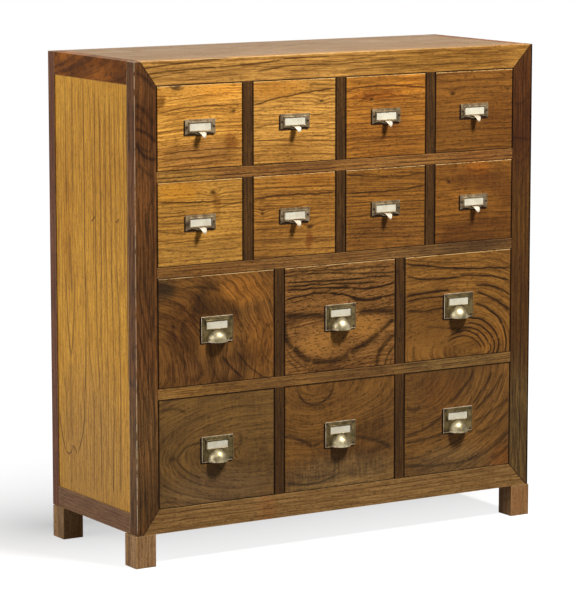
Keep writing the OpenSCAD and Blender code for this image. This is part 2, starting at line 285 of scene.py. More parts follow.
def wander(tree, vector, scale, amount, detail=2, roughness=0.5):
    # drifts evenly to all sides
    drift = noise(tree, vector, scale, detail, roughness)[1]
    return scaled(tree, vectors(tree, "SUBTRACT", drift, (0.5, 0.5, 0.5)), amount)


def newGroup(name, **inputs):
    # the names of its inputs are given by their kind
    group = bpy.data.node_groups.new(name, "ShaderNodeTree")
    for kind, labels in inputs.items():
        for label in labels.split():
            group.interface.new_socket(name=label, in_out="INPUT", socket_type="NodeSocket" + kind)
    return group, group.nodes.new("NodeGroupInput").outputs


def closeGroup(group, **values):
    # gives the group its outputs
    kinds = {"VALUE": "NodeSocketFloat", "VECTOR": "NodeSocketVector", "RGBA": "NodeSocketColor"}
    for label, socket in values.items():
        group.interface.new_socket(name=label, in_out="OUTPUT", socket_type=kinds[socket.type])
    end = group.nodes.new("NodeGroupOutput").inputs
    for label, socket in values.items():
        group.links.new(socket, end[label])
    return group


def addGroup(tree, group, **values):
    return place(tree, "ShaderNodeGroup", values, node_tree=group).outputs


# growth rings cut by the board's face: ellipses round a pith, stretched along the grain
def makeRingGroup():
    group, given = newGroup(
        "growth rings", Vector="lumber",
        Float="seed pithAlong pithAcross pithDepth leftStretch rightStretch turn bend ring heart warp "
              "warpScale ripple",
    )
    seed = given["seed"]
    slow = vectors(group, "MULTIPLY", given["lumber"], (0.45, 1, 1))
    slow = vectors(group, "ADD", slow, joined(group, 0, 0, seed))
    swirl = wander(group, slow, given["warpScale"], given["warp"])
    ripple = wander(group, vectors(group, "MULTIPLY", slow, (2.2, 1, 1)), 46, given["ripple"], 1)
    ripple = vectors(group, "MULTIPLY", ripple, (0, 1, 0))
    pith = joined(group, given["pithAlong"], given["pithAcross"])
    local = vectors(group, "SUBTRACT", given["lumber"], pith)
    local = vectors(group, "ADD", vectors(group, "ADD", local, swirl), ripple)
    wanted = {"Vector": local, "Angle": given["turn"]}
    turned = place(group, "ShaderNodeVectorRotate", wanted, rotation_type="Z_AXIS").outputs[0]
    parts = split(group, turned)
    onLeft = maths(group, "LESS_THAN", parts[0], 0)
    spread = maths(group, "SUBTRACT", given["leftStretch"], given["rightStretch"])
    spread = maths(group, "MULTIPLY_ADD", onLeft, spread, given["rightStretch"])
    along = maths(group, "DIVIDE", parts[0], spread)
    deep = maths(group, "ADD", parts[2], given["pithDepth"])
    far = measured(group, "LENGTH", joined(group, along, parts[1], deep))
    far = maths(group, "ADD", far, given["bend"])
    flow = joined(group, parts[0], far, parts[2])
    far = maths(group, "MAXIMUM", maths(group, "SUBTRACT", far, given["heart"]), 0)
    count = maths(group, "DIVIDE", far, given["ring"])
    uneven = lineNoise(group, maths(group, "MULTIPLY_ADD", count, 0.45, seed))
    count = maths(group, "MULTIPLY_ADD", uneven, 1.6, count)
    step = maths(group, "FRACT", count)
    year = maths(group, "ADD", maths(group, "FLOOR", count), seed)
    strong = place(group, "ShaderNodeTexWhiteNoise", {"W": year}, noise_dimensions="1D").outputs[0]
    strong = maths(group, "MULTIPLY_ADD", maths(group, "POWER", strong, 1.3), 0.8, 0.2)
    rise = smooth(group, step, 0.62, 0.9)
    fall = smooth(group, step, 0.93, 1, 1, 0)
    broken = smooth(group, longNoise(group, given["lumber"], (22, 80, 80)), 0.3, 0.58, 0.3, 1)
    fine = smooth(group, lineNoise(group, maths(group, "MULTIPLY_ADD", count, 3.1, seed)), 0.54, 0.68)
    line = times(group, rise, fall, strong, broken)
    return closeGroup(group, line=line, thread=times(group, fine, broken), band=step, flow=flow)


# streaks, pores and flecks that follow the rings
def makeFibreGroup():
    group, given = newGroup("wood fibre", Vector="lumber flow", Float="seed")
    seeded = joined(group, 0, 0, given["seed"])
    moved = vectors(group, "ADD", given["lumber"], seeded)
    flow = vectors(group, "ADD", given["flow"], seeded)
    return closeGroup(
        group,
        streak=smooth(group, longNoise(group, flow, (18, 340, 190), 2, 0.6), 0.38, 0.64),
        pore=smooth(group, longNoise(group, flow, (105, 320, 260), 2, 0.7), 0.54, 0.65),
        fleck=smooth(group, longNoise(group, moved, (120, 360, 360), 2, 0.6), 0.52, 0.68),
        ray=smooth(group, longNoise(group, moved, (190, 28, 28)), 0.4, 0.7),
    )


# a knot bends the rings round itself and has a dark core
def makeKnotGroup():
    group, given = newGroup("knot", Vector="lumber", Float="along across size")
    local = vectors(group, "SUBTRACT", given["lumber"], joined(group, given["along"], given["across"]))
    local = vectors(group, "MULTIPLY", local, (0.62, 1, 0.1))
    local = vectors(group, "ADD", local, wander(group, given["lumber"], 120, given["size"]))
    away = maths(group, "DIVIDE", measured(group, "LENGTH", local), given["size"])
    wide = maths(group, "EXPONENT", times(group, away, away, -0.12))
    core = smooth(group, away, 0.3, 1.5, 1, 0)
    return closeGroup(group, bend=times(group, wide, given["size"], 1.6), core=core)


# a place on the board with a soft, uneven edge
def makeRegionGroup():
    group, given = newGroup("region", Vector="lumber", Float="along across width height")
    local = vectors(group, "SUBTRACT", given["lumber"], joined(group, given["along"], given["across"]))
    local = vectors(group, "ADD", local, wander(group, given["lumber"], 38, 0.03, 3, 0.6))
    parts = split(group, local)
    wide = maths(group, "DIVIDE", parts[0], given["width"])
    high = maths(group, "DIVIDE", parts[1], given["height"])
    away = measured(group, "LENGTH", joined(group, wide, high))
    return closeGroup(group, mask=smooth(group, away, 0.35, 1.2, 1, 0))


# lets a traced line waver a little, as a grown one does
def makeWaverGroup():
    group, given = newGroup("waver", Vector="lumber", Float="amount")
    flat = vectors(group, "MULTIPLY", given["lumber"], (1, 1, 0))
    slow = wander(group, flat, 17, 0.016)
    quick = wander(group, vectors(group, "MULTIPLY", flat, (0.6, 1, 1)), 95, 0.0045)
    drift = scaled(group, vectors(group, "ADD", slow, quick), given["amount"])
    moved = vectors(group, "ADD", flat, drift)
    return closeGroup(group, spot=vectors(group, "MULTIPLY", moved, (1, 1, 0)))


# one dark growth line, drawn as part of a circle
def makeVeinGroup():
    group, given = newGroup("grain line", Vector="spot centre towards across", Float="radius reach width")
    local = vectors(group, "SUBTRACT", given["spot"], given["centre"])
    away = maths(group, "SUBTRACT", measured(group, "LENGTH", local), given["radius"])
    away = maths(group, "DIVIDE", away, given["width"])
    thin = smooth(group, maths(group, "ABSOLUTE", away), 0.1, 0.7, 1, 0)
    shade = times(group, smooth(group, away, 0, 2.2, 0.3, 0), maths(group, "GREATER_THAN", away, 0))
    facing = measured(group, "DOT_PRODUCT", local, given["towards"])
    facing = maths(group, "GREATER_THAN", facing, 0)
    along = maths(group, "ABSOLUTE", measured(group, "DOT_PRODUCT", local, given["across"]))
    ends = smooth(group, maths(group, "DIVIDE", along, given["reach"]), 0.85, 1.12, 1, 0)
    return closeGroup(group, mask=times(group, maths(group, "MAXIMUM", thin, shade), facing, ends))


# a painted shadow along a plate's left and lower edges
def makePlateShadowGroup():
    group, given = newGroup("plate grime", Vector="lumber", Float="halfWidth halfHeight")
    moved = vectors(group, "ADD", given["lumber"], (0.0029, 0.0018, 0))
    parts = split(group, vectors(group, "ADD", moved, wander(group, given["lumber"], 300, 0.0025)))
    wide = maths(group, "SUBTRACT", maths(group, "ABSOLUTE", parts[0]), given["halfWidth"])
    high = maths(group, "SUBTRACT", maths(group, "ABSOLUTE", parts[1]), given["halfHeight"])
    past = maths(group, "MAXIMUM", wide, high)
    return closeGroup(group, mask=smooth(group, past, -0.0002, 0.0007, 0.96, 0))


# stain and varnish: colour, gloss and relief of the finished wood
def makeStainGroup():
    group, given = newGroup(
        "stained wood", Vector="lumber", Color="light middle dark cloud rim",
        Float="seed line thread band streak pore fleck ray core vein calm edge cloudScale clouds lines fine "
              "pores flecks rays rimAmount gloss",
    )
    streak = given["streak"]
    slow = vectors(group, "MULTIPLY", given["lumber"], (0.6, 1, 1))
    slow = vectors(group, "ADD", slow, joined(group, 0, 0, given["seed"]))
    patch = smooth(group, noise(group, slow, given["cloudScale"], 3, 0.55)[0], 0.42, 0.68)
    lively = maths(group, "SUBTRACT", 1, given["calm"])
    shade = maths(group, "MULTIPLY_ADD", streak, 0.65, times(group, given["band"], 0.35))
    shade = maths(group, "MULTIPLY_ADD", maths(group, "SUBTRACT", shade, 0.45), lively, 0.45)
    colour = blendColours(group, shade, given["light"], given["middle"])
    colour = blendColours(group, times(group, patch, given["clouds"]), colour, given["cloud"])
    colour = blendColours(group, times(group, given["ray"], given["rays"]), colour, given["light"])
    for mark, strength, still in (
        ("fleck", "flecks", 1), ("pore", "pores", 1), ("thread", "fine", lively), ("line", "lines", lively),
    ):
        share = times(group, given[mark], given[strength], still)
        colour = blendColours(group, share, colour, given["dark"])
    drawn = times(group, given["vein"], maths(group, "MULTIPLY_ADD", streak, 0.2, 0.9))
    colour = blendColours(group, maths(group, "MINIMUM", drawn, 0.96), colour, given["dark"])
    colour = blendColours(group, times(group, given["core"], 0.85), colour, tone(finish["knot"]))
    # painted shade on edges marked -1, which also darkens the mitre joints
    shadedEdges = maths(group, "POWER", maths(group, "MAXIMUM", times(group, given["edge"], -1), 0), 5)
    colour = blendColours(group, times(group, shadedEdges, 0.85), colour, tone(finish["paintedShade"]))
    # pale wear with a painted highlight on edges marked 1
    wearAndHighlight = maths(group, "POWER", maths(group, "MAXIMUM", given["edge"], 0), 8)
    patchy = smooth(group, noise(group, given["lumber"], 60, 3, 0.6)[0], 0.3, 0.55)
    colour = blendColours(group, times(group, wearAndHighlight, patchy, given["rimAmount"]), colour, given["rim"])
    rough = maths(group, "MULTIPLY_ADD", streak, 0.08, given["gloss"])
    rough = maths(group, "MULTIPLY_ADD", given["line"], 0.08, rough)
    rough = maths(group, "MULTIPLY_ADD", patch, 0.05, rough)
    height = maths(group, "MULTIPLY_ADD", given["line"], -0.5, times(group, streak, 0.35))
    height = maths(group, "MULTIPLY_ADD", given["pore"], -0.8, height)
    return closeGroup(group, colour=colour, roughness=rough, height=height)


# knot is the colour of knot cores; the other colour is painted shade on edges and beside the plates, and it
# also darkens the mitre joints
finish = {"knot": "2a160c", "paintedShade": "1c0f07", "relief": 0.25, "reliefDepth": 0.0004}
ringGroup = makeRingGroup()
fibreGroup = makeFibreGroup()
knotGroup = makeKnotGroup()
regionGroup = makeRegionGroup()
waverGroup = makeWaverGroup()
veinGroup = makeVeinGroup()
plateShadowGroup = makePlateShadowGroup()
stainGroup = makeStainGroup()

# What every board has unless its own dictionary says otherwise; lengths are in millimetres, and places are
# along the grain and across it, from the board's middle. "stretch" is how long the rings are drawn to the
# left and to the right of the pith. A knot is its place and size, a patch its place, half size and tint, a
# calm spot its place, half size and strength. A vein is its width, its strength and then its points: an arc
# goes through the first three, and each two more points add another.
plainWood = {
    "light": "b0803f", "middle": "90602c", "dark": "4a2c14", "cloud": "6a3f1e", "rim": "c8a468",
    "rimAmount": 0.25, "pith": (0, 0, 25), "stretch": (9, 9), "turn": 0, "ring": 9, "heart": 0, "warp": 9,
    "warpScale": 7, "ripple": 2, "lines": 0.9, "fine": 0.5, "pores": 0.5, "flecks": 0.3, "rays": 0,
    "clouds": 0.4, "cloudScale": 7, "gloss": 0.42, "specular": 0.08, "knots": (), "patches": (), "calm": (),
    "veins": (), "waver": 0.6, "paintedShade": None, "seed": 0,
}


def addRegion(tree, lumber, *sizes):
    wanted = dict(zip(("along", "across", "width", "height"), [size * mm for size in sizes]))
    return addGroup(tree, regionGroup, lumber=lumber, **wanted)["mask"]


def addVein(tree, spot, width, points):
    # the circle through three points
    start, middle, end = [Vector(points[i:i + 2]) for i in (0, 2, 4)]
    chord = (end - start) / 2
    centre = (start + end) / 2
    across = chord.normalized()
    upright = Vector((-across.y, across.x))
    along = (middle - centre).dot(across)
    rise = (middle - centre).dot(upright)
    if abs(rise) < 0.25:
        rise = 0.25
    push = (along ** 2 + rise ** 2 - chord.length ** 2) / (2 * rise)
    centre = (centre + upright * push) * mm
    towards = upright * math.copysign(1, rise)
    return addGroup(
        tree, veinGroup, spot=spot, centre=(*centre, 0), towards=(*towards, 0), across=(*across, 0),
        radius=math.hypot(chord.length, push) * mm, reach=chord.length * mm, width=width * mm,
    )["mask"]


def newMaterial(name):
    material = bpy.data.materials.new(name)
    material.use_nodes = True
    return material, material.node_tree, material.node_tree.nodes["Principled BSDF"].inputs


def addRelief(tree, shader, height, look):
    wanted = {"Height": height, "Strength": look["relief"], "Distance": look["reliefDepth"]}
    tree.links.new(place(tree, "ShaderNodeBump", wanted).outputs[0], shader["Normal"])


def makeWood(name, look, objectTurn=None):
    look = {**plainWood, **look}
    material, tree, shader = newMaterial(name)
    if objectTurn is None:
        lumber = place(tree, "ShaderNodeAttribute", attribute_name="lumber").outputs["Vector"]
        edge = place(tree, "ShaderNodeAttribute", attribute_name="rim").outputs["Fac"]
    else:
        where = place(tree, "ShaderNodeTexCoord").outputs["Object"]
        lumber = place(tree, "ShaderNodeMapping", {"Vector": where, "Rotation": objectTurn}).outputs[0]
        edge = 0
    bend = core = calm = vein = 0
    for along, across, size in look["knots"]:
        knot = addGroup(tree, knotGroup, lumber=lumber, along=along * mm, across=across * mm, size=size * mm)
        bend = maths(tree, "ADD", knot["bend"], bend)
        core = maths(tree, "MAXIMUM", knot["core"], core)
    rings = addGroup(
        tree, ringGroup, lumber=lumber, seed=look["seed"], turn=math.radians(look["turn"]), bend=bend,
        warpScale=look["warpScale"], leftStretch=look["stretch"][0], rightStretch=look["stretch"][1],
        **dict(zip(("pithAlong", "pithAcross", "pithDepth"), Vector(look["pith"]) * mm)),
        **{key: look[key] * mm for key in ("ring", "heart", "warp", "ripple")},
    )
    for *sizes, amount in look["calm"]:
        mask = times(tree, addRegion(tree, lumber, *sizes), amount)
        calm = maths(tree, "MAXIMUM", mask, calm)
    if look["veins"]:
        spot = addGroup(tree, waverGroup, lumber=lumber, amount=look["waver"])["spot"]
    for width, amount, *points in look["veins"]:
        for first in range(0, len(points) - 4, 4):
            mask = times(tree, addVein(tree, spot, width, points[first:first + 6]), amount)
            vein = maths(tree, "MAXIMUM", mask, vein)
    fibre = addGroup(tree, fibreGroup, lumber=lumber, flow=rings["flow"], seed=look["seed"] + 3.7)
    stain = addGroup(
        tree, stainGroup, lumber=lumber, seed=look["seed"] + 1.3, core=core, vein=vein, calm=calm, edge=edge,
        **{key: rings[key] for key in ("line", "thread", "band")},
        **{key: fibre[key] for key in ("streak", "pore", "fleck", "ray")},
        **{key: tone(look[key]) for key in ("light", "middle", "dark", "cloud", "rim")},
        **{key: look[key] for key in ("cloudScale", "clouds", "lines", "fine", "pores", "flecks", "rays")},
        **{key: look[key] for key in ("rimAmount", "gloss")},
    )
    colour = stain["colour"]
    for *sizes, tint in look["patches"]:
        colour = blendColours(tree, addRegion(tree, lumber, *sizes), colour, (*tint, 1), "MULTIPLY")
    # a painted shadow along the left and lower edges of each plate
    if look["paintedShade"]:
        halfWidth, halfHeight = [half * mm for half in look["paintedShade"]]
        paintedShade = addGroup(tree, plateShadowGroup, lumber=lumber, halfWidth=halfWidth, halfHeight=halfHeight)
        colour = blendColours(tree, paintedShade["mask"], colour, tone(finish["paintedShade"]))
    tree.links.new(colour, shader["Base Color"])
    tree.links.new(stain["roughness"], shader["Roughness"])
    shader["Specular IOR Level"].default_value = look["specular"]
    addRelief(tree, shader, stain["height"], finish)
    return material


print("wood shaders built")

# the front frame
frameGrain = {"stretch": (34, 34), "ring": 8, "pith": (100, 60, 18)}
frameWood = {
    "leftStile": {
        "waver": 0.5, "light": "805028", "middle": "402914", "dark": "190e08", "cloud": "331e0f",
        "rim": "c4a785", "rimAmount": 0.85, "warp": 12, "pith": (0, 70, 20), "lines": 0.4, "pores": 0.4,
        "flecks": 0.25, "clouds": 0.5, "cloudScale": 5, "seed": 11,
        "patches": (
            (330, 0, 60, 60, (0.75, 0.7, 0.65)), (30, 0, 110, 60, (0.84, 0.86, 0.86)),
            (-300, 0, 180, 60, (1.2, 1.45, 1.6)),
        ),
        "veins": (
            (9, 0.58, 425, -19, 409, 4, 391, 20), (11, 0.58, 365, -20, 351, 1, 329, 17),
            (11, 0.47, 344, -19, 333, -5, 317, 6), (9, 0.73, 322, -20, 314, -2, 296, 21),
            (9, 0.73, 296, -20, 267, 0, 261, 20), (9, 0.42, 254, -17, 241, 0, 229, 15),
            (7, 0.47, 292, -16, 285, -9, 277, 8), (4, 0.5, 157, 0, 94, 3, 38, 4),
            (4, 0.5, 191, 15, 175, 8, 157, 0), (4, 0.35, 187, -15, 121, -12, 40, -14),
            (4, 0.4, 158, 20, 106, 16, 38, 15), (4, 0.45, 55, 11, -5, 6, -65, 9),
            (3.5, 0.6, 39, -19, -21, -8, -70, 7), (3.5, 0.6, -32, -20, -99, -8, -172, 9),
            (3, 0.5, 44, -8, -4, 2, -59, 19), (3.5, 0.6, -86, -20, -152, -11, -213, -1),
            (3, 0.5, -72, -11, -129, -1, -200, 16), (3.5, 0.6, -151, -21, -212, -15, -287, -12),
            (3.5, 0.5, -112, 9, -172, 12, -239, 19), (3.5, 0.5, -201, -1, -288, 5, -405, 8),
            (3.5, 0.5, -287, -10, -347, -7, -404, -7), (3.5, 0.5, -259, -20, -331, -17, -399, -17),
            (3.5, 0.5, -239, 16, -320, 19, -395, 19),
        ),
    },
    "rightStile": {
        "waver": 0.5, "light": "724b20", "middle": "482c13", "dark": "1f1108", "cloud": "3a220f",
        "pith": (0, -70, 20), "lines": 0.4, "pores": 0.4, "clouds": 0.5, "cloudScale": 5, "seed": 12,
        "patches": ((330, 0, 180, 60, (0.58, 0.47, 0.57)), (-330, 0, 180, 60, (1.15, 1.58, 2.25)),),
        "veins": (
            (7, 0.35, 328, -19, 329, -2, 347, 16), (5, 0.5, 259, -21, 258, -2, 253, 18),
            (6, 0.3, 231, -21, 212, -1, 241, 2), (4, 0.4, 214, 7, 229, 14, 240, 18),
            (4, 0.3, 170, -16, 83, -12, -6, -16), (4, 0.35, 169, 0, 82, -1, -8, 0),
            (4, 0.3, 153, 13, 67, 12, -9, 13), (3.5, 0.4, -7, -14, -112, -15, -223, -14),
            (3.5, 0.45, -8, 1, -129, 2, -255, 0), (3.5, 0.3, -22, 16, -145, 15, -269, 15),
            (3.5, 0.5, -235, -16, -328, -8, -429, 5), (3.5, 0.5, -255, -3, -336, 5, -424, 18),
            (3, 0.4, -223, -8, -291, -7, -354, -1), (3.5, 0.4, -268, 10, -324, 14, -375, 20),
            (3.5, 0.4, -284, -19, -346, -14, -400, -6),
        ),
    },
    "topRail": {
        "waver": 0.25, "light": "cf9a4d", "middle": "8b5f2a", "dark": "3f240e", "cloud": "825222",
        "ring": 7.5, "warp": 7, "lines": 0.35, "pores": 0.35, "flecks": 0.2, "clouds": 0.3, "rim": "e6c48c",
        "rimAmount": 0.6, "seed": 13,
        "patches": ((260, 0, 260, 40, (0.62, 0.57, 0.48)),),
        "veins": (
            (3.5, 0.85, -435, 10, -360, 16, -261, 23), (3, 0.6, -261, 23, -218, 25, -171, 25),
            (4, 0.9, -422, -1, -354, 4, -275, 7), (4, 0.85, -275, 7, -189, 10, -131, 15),
            (3.5, 0.75, -131, 15, -87, 17, -25, 17), (3, 0.6, -415, -9, -388, -5, -337, 1),
            (3, 0.5, -292, -3, -218, 3, -116, 2), (4, 0.8, -189, -5, -116, 2, -25, 1),
            (3, 0.45, -337, -15, -292, -11, -226, -9), (3, 0.5, -116, -7, -72, -7, -25, -2),
            (3.5, 0.6, -45, 7, 28, 9, 84, 17), (3.5, 0.6, -45, 1, 47, 3, 128, 7),
            (3, 0.5, -27, -3, 47, -4, 128, -2), (3.5, 0.6, 10, -12, 84, -9, 191, -12),
            (3.5, 0.6, 140, -8, 222, -8, 299, -11), (3, 0.55, 299, -11, 347, -9, 403, -6),
            (3, 0.45, 172, -2, 235, 3, 325, 2), (3, 0.4, 235, 10, 315, 10, 413, 14),
        ),
    },
    "bottomRail": {
        "light": "a27b48", "middle": "76542d", "dark": "3c2713", "cloud": "684223", "ring": 9, "warp": 8,
        "pith": (-100, 60, 18), "lines": 0.85, "seed": 14,
        "patches": ((-165, 0, 26, 40, (1.04, 0.9, 0.86)),),
    },
    "upperRail": {
        "light": "a17139", "middle": "754b22", "dark": "301a0e", "cloud": "5a381f", "fine": 0.6,
        "clouds": 0.6, "cloudScale": 8, "rim": "b98a55", "seed": 15.1,
        "patches": ((-350, 0, 90, 20, (1.25, 1.35, 1.1)), (330, 0, 90, 20, (0.9, 0.82, 0.8)),),
    },
    "middleRail": {
        "light": "956a38", "middle": "684321", "dark": "2d190c", "cloud": "4a301d", "fine": 0.6,
        "clouds": 0.7, "cloudScale": 8, "rim": "b98a55", "seed": 15.6,
        "patches": ((-300, 0, 120, 20, (1.05, 1.0, 0.9)), (260, 0, 190, 20, (0.74, 0.8, 0.9)),),
    },
    "lowerRail": {
        "light": "a97c41", "middle": "775027", "dark": "341e0f", "cloud": "563b22", "fine": 0.6,
        "clouds": 0.7, "cloudScale": 8, "rim": "b98a55", "seed": 15.9,
        "patches": ((-300, 0, 120, 20, (1.0, 1.0, 0.95)), (260, 0, 190, 20, (0.72, 0.8, 0.92)),),
    },
    "divider": {
        "light": "5e3f1e", "middle": "372310", "dark": "180e07", "cloud": "311f0f", "ring": 7,
        "stretch": (30, 30), "warp": 6, "pith": (0, 50, 18), "lines": 0.6, "rim": "74502e", "seed": 16,
    },
}
woods = {name: makeWood(name, {**frameGrain, **look}) for name, look in frameWood.items()}

front = chest["front"]
back = chest["back"]
side = chest["side"]
opening = chest["opening"]
inside = chest["inside"]
floorUp = chest["floor"]
top = chest["top"]
frameBack = front + chest["frameDepth"]


def mitreCuts(hand, mitre):
    # the two slanting cuts of a stile, each as a point on it and the side that goes
    outer = hand * (side - mitre)
    across = -hand * chest["frameWidth"]
    run = abs(outer) - opening
    return [
        ((outer, front, top), Vector((across, 0, run))),
        ((outer, front, floorUp), Vector((across, 0, -run))),
    ]


def makeFrameBoard(name, low, high, axes, wood, slot, node, cuts, shadedEdges=()):
    board = makeBoard(
        "front_frame_" + name, (low[0], front, low[1]), (high[0], frameBack, high[1]), axes, woods[wood],
        cuts=cuts, shift=(0, 0, 0), shadedEdges=shadedEdges,
    )
    finishPiece(board, "carcass", slot, node)


leftCuts = mitreCuts(-1, chest["mitreLeft"])
rightCuts = mitreCuts(1, chest["mitreRight"])
topCuts, bottomCuts = [[(spot, -normal) for spot, normal in pair] for pair in zip(leftCuts, rightCuts)]
# the sides listed last get painted shade along their edges
makeFrameBoard(
    "left", (-side, floorUp), (-opening, top), "zxy", "leftStile", "dark_wood", "front_stile_left",
    leftCuts, ("right",),
)
makeFrameBoard(
    "right", (opening, floorUp), (side, top), "zxy", "rightStile", "dark_wood", "front_stile_right",
    rightCuts, ("left", "right"),
)
makeFrameBoard(
    "top", (-side, top - chest["frameWidth"]), (side, top), "xzy", "topRail", "amber_rail_wood",
    "front_top_rail", topCuts, ("below",),
)
makeFrameBoard(
    "bottom", (-side, floorUp), (side, floorUp + chest["frameWidth"]), "xzy", "bottomRail",
    "amber_rail_wood", "front_bottom_rail", bottomCuts,
)


def columnWidth(row):
    count = chest["columns"][row]
    return (2 * opening - (count - 1) * chest["dividerWidth"]) / count


def columnLeft(row, column):
    return -opening + column * (columnWidth(row) + chest["dividerWidth"])


for row, name in enumerate(["upper", "middle", "lower"]):
    height = chest["rowFloors"][row]
    rail = makeBoard(
        "row_rail_" + name + "_board", (-opening, front, height - chest["railHeight"]),
        (opening, frameBack, height), "xzy", woods[name + "Rail"], shift=(0, 0, 0),
        arris=boardShape["thinArris"],
    )
    finishPiece(rail, "carcass", "red_rail_wood", "row_rail_" + name)

# painted shade on both long edges of each divider
for rows, name in (((0, 1), "small_dividers"), ((2, 3), "large_dividers")):
    boards = []
    for row in rows:
        base = chest["rowFloors"][row]
        for column in range(1, chest["columns"][row]):
            right = columnLeft(row, column)
            boards.append(makeBoard(
                "divider", (right - chest["dividerWidth"], front, base),
                (right, frameBack, base + chest["rowHeights"][row]), "zxy", woods["divider"],
                arris=boardShape["thinArris"], shadedEdges=("left", "right"),
            ))
    finishPiece(joinPieces(name + "_boards", boards), "carcass", "dark_wood", name)

print("front frame built")

# sides, top, back and feet
caseGrain = {"stretch": (34, 34), "ring": 8, "pith": (0, 60, 20), "lines": 0.6, "specular": 0.1}
caseWood = {
    "sideStile": {
        "light": "7a4a2c", "middle": "5a3420", "dark": "2a1810", "cloud": "442618", "clouds": 0.5,
        "seed": 21,
    },
    "sideTop": {
        "light": "9e5b18", "middle": "723e11", "dark": "301708", "cloud": "44240b", "ring": 11,
        "stretch": (9, 9), "pith": (0, 50, 20), "warp": 12, "clouds": 0.85, "cloudScale": 11, "seed": 22,
        "specular": 0.05,
    },
    "sideBottom": {
        "light": "8a6340", "middle": "6c4a31", "dark": "3c2519", "cloud": "644433", "stretch": (24, 24),
        "clouds": 0.6, "seed": 23,
    },
    "panel": {
        "waver": 0.25, "light": "e8ac3e", "middle": "af792c", "dark": "5d3811", "cloud": "a06a26",
        "ring": 10, "stretch": (60, 60), "pith": (0, 420, 40), "warp": 5, "warpScale": 4, "ripple": 1,
        "lines": 0.25, "fine": 0.3, "pores": 0.35, "flecks": 0.25, "clouds": 0.35, "cloudScale": 3,
        "seed": 24,
        "patches": ((-360, 0, 260, 190, (0.79, 0.81, 1.3)), (120, 100, 180, 26, (0.86, 0.8, 0.7)),),
        "veins": (
            (3.3, 0.51, 291, 135, 142, 136, -19, 135), (3.3, 0.85, 389, 103, 260, 103, 145, 101),
            (3.3, 0.85, 397, 76, 262, 77, 176, 78), (3.3, 0.93, 394, 32, 238, 30, -5, 30),
            (2.9, 0.51, 384, 49, 276, 48, 180, 47), (2.9, 0.68, 387, 9, 241, -3, -1, 0),
            (3.3, 0.85, 378, -15, 214, -14, 1, -15), (3.3, 0.93, 368, -31, 216, -34, 3, -35),
            (3.3, 0.85, 378, -56, 190, -54, 6, -55), (3.3, 0.93, 374, -72, 192, -74, 8, -76),
            (2.9, 0.85, 367, -89, 250, -92, 11, -93), (2.9, 0.59, 368, -102, 224, -111, 13, -111),
            (3.3, 0.76, 392, -125, 198, -126, 15, -127), (3.8, 1, 396, -139, 226, -138, 16, -138),
            (9, 0.59, 101, 91, 39, 88, -12, 84), (4.2, 1, 144, -12, 139, -6, 134, 2),
            (4.2, 0.93, 151, -106, 145, -99, 142, -91), (3.3, 0.93, 22, 108, -63, 102, -134, 91),
            (3.3, 0.93, 26, 71, -68, 77, -135, 88), (3.3, 1, 32, 28, -81, 28, -209, 36, -269, 42, -319, 63),
            (3.3, 1, -256, 139, -297, 130, -325, 115, -329, 100, -312, 90, -318, 77, -327, 70),
            (2.9, 0.68, 5, 19, -102, 16, -189, -2), (3.3, 0.85, -189, -2, -301, -1, -384, -1),
            (2.9, 0.85, 37, -16, -47, -16, -136, -21), (3.3, 0.85, -136, -21, -241, -28, -376, -29),
            (3.3, 0.76, 39, -35, -45, -33, -117, -34), (2.9, 0.68, 42, -55, -97, -57, -236, -58),
            (3.3, 0.85, 44, -75, -94, -81, -204, -85, -260, -80, -374, -75),
            (3.3, 0.85, 47, -97, -90, -105, -200, -106, -283, -105, -371, -103),
            (3.8, 1, 52, -138, -58, -138, -168, -141), (8, 0.43, -179, 119, -235, 111, -305, 107),
            (8, 0.51, -147, 91, -232, 91, -302, 88), (3.3, 0.68, -327, 90, -359, 91, -387, 91),
        ),
    },
    "top": {
        "light": "8f692f", "middle": "704e1d", "dark": "33220d", "cloud": "6b4d24", "ring": 12,
        "pith": (100, 60, 20), "lines": 0.5, "clouds": 0.3, "gloss": 0.36, "specular": 0.115, "seed": 25,
    },
    "back": {
        "light": "a98455", "middle": "93703f", "dark": "66482a", "cloud": "8a673e", "ring": 16,
        "stretch": (6, 6), "warp": 25, "warpScale": 3, "pith": (150, 60, 30), "lines": 0.5, "clouds": 0.3,
        "gloss": 0.55, "seed": 26, "specular": 0.08,
    },
    "foot": {
        "light": "ab8358", "middle": "866440", "dark": "513821", "cloud": "9d6737", "ring": 7,
        "stretch": (30, 30), "warp": 5, "pith": (0, 60, 15), "lines": 0.5, "clouds": 0.5, "cloudScale": 16,
        "seed": 27, "specular": 0.08,
    },
}
woods.update({name: makeWood(name, {**caseGrain, **look}) for name, look in caseWood.items()})
# the panel on the right isn't seen in the photograph and has a plainer figure
plainPanel = {"veins": (), "patches": (), "lines": 0.8, "fine": 0.5, "seed": 28}
woods["rightPanel"] = makeWood("right panel", {**caseGrain, **caseWood["panel"], **plainPanel})

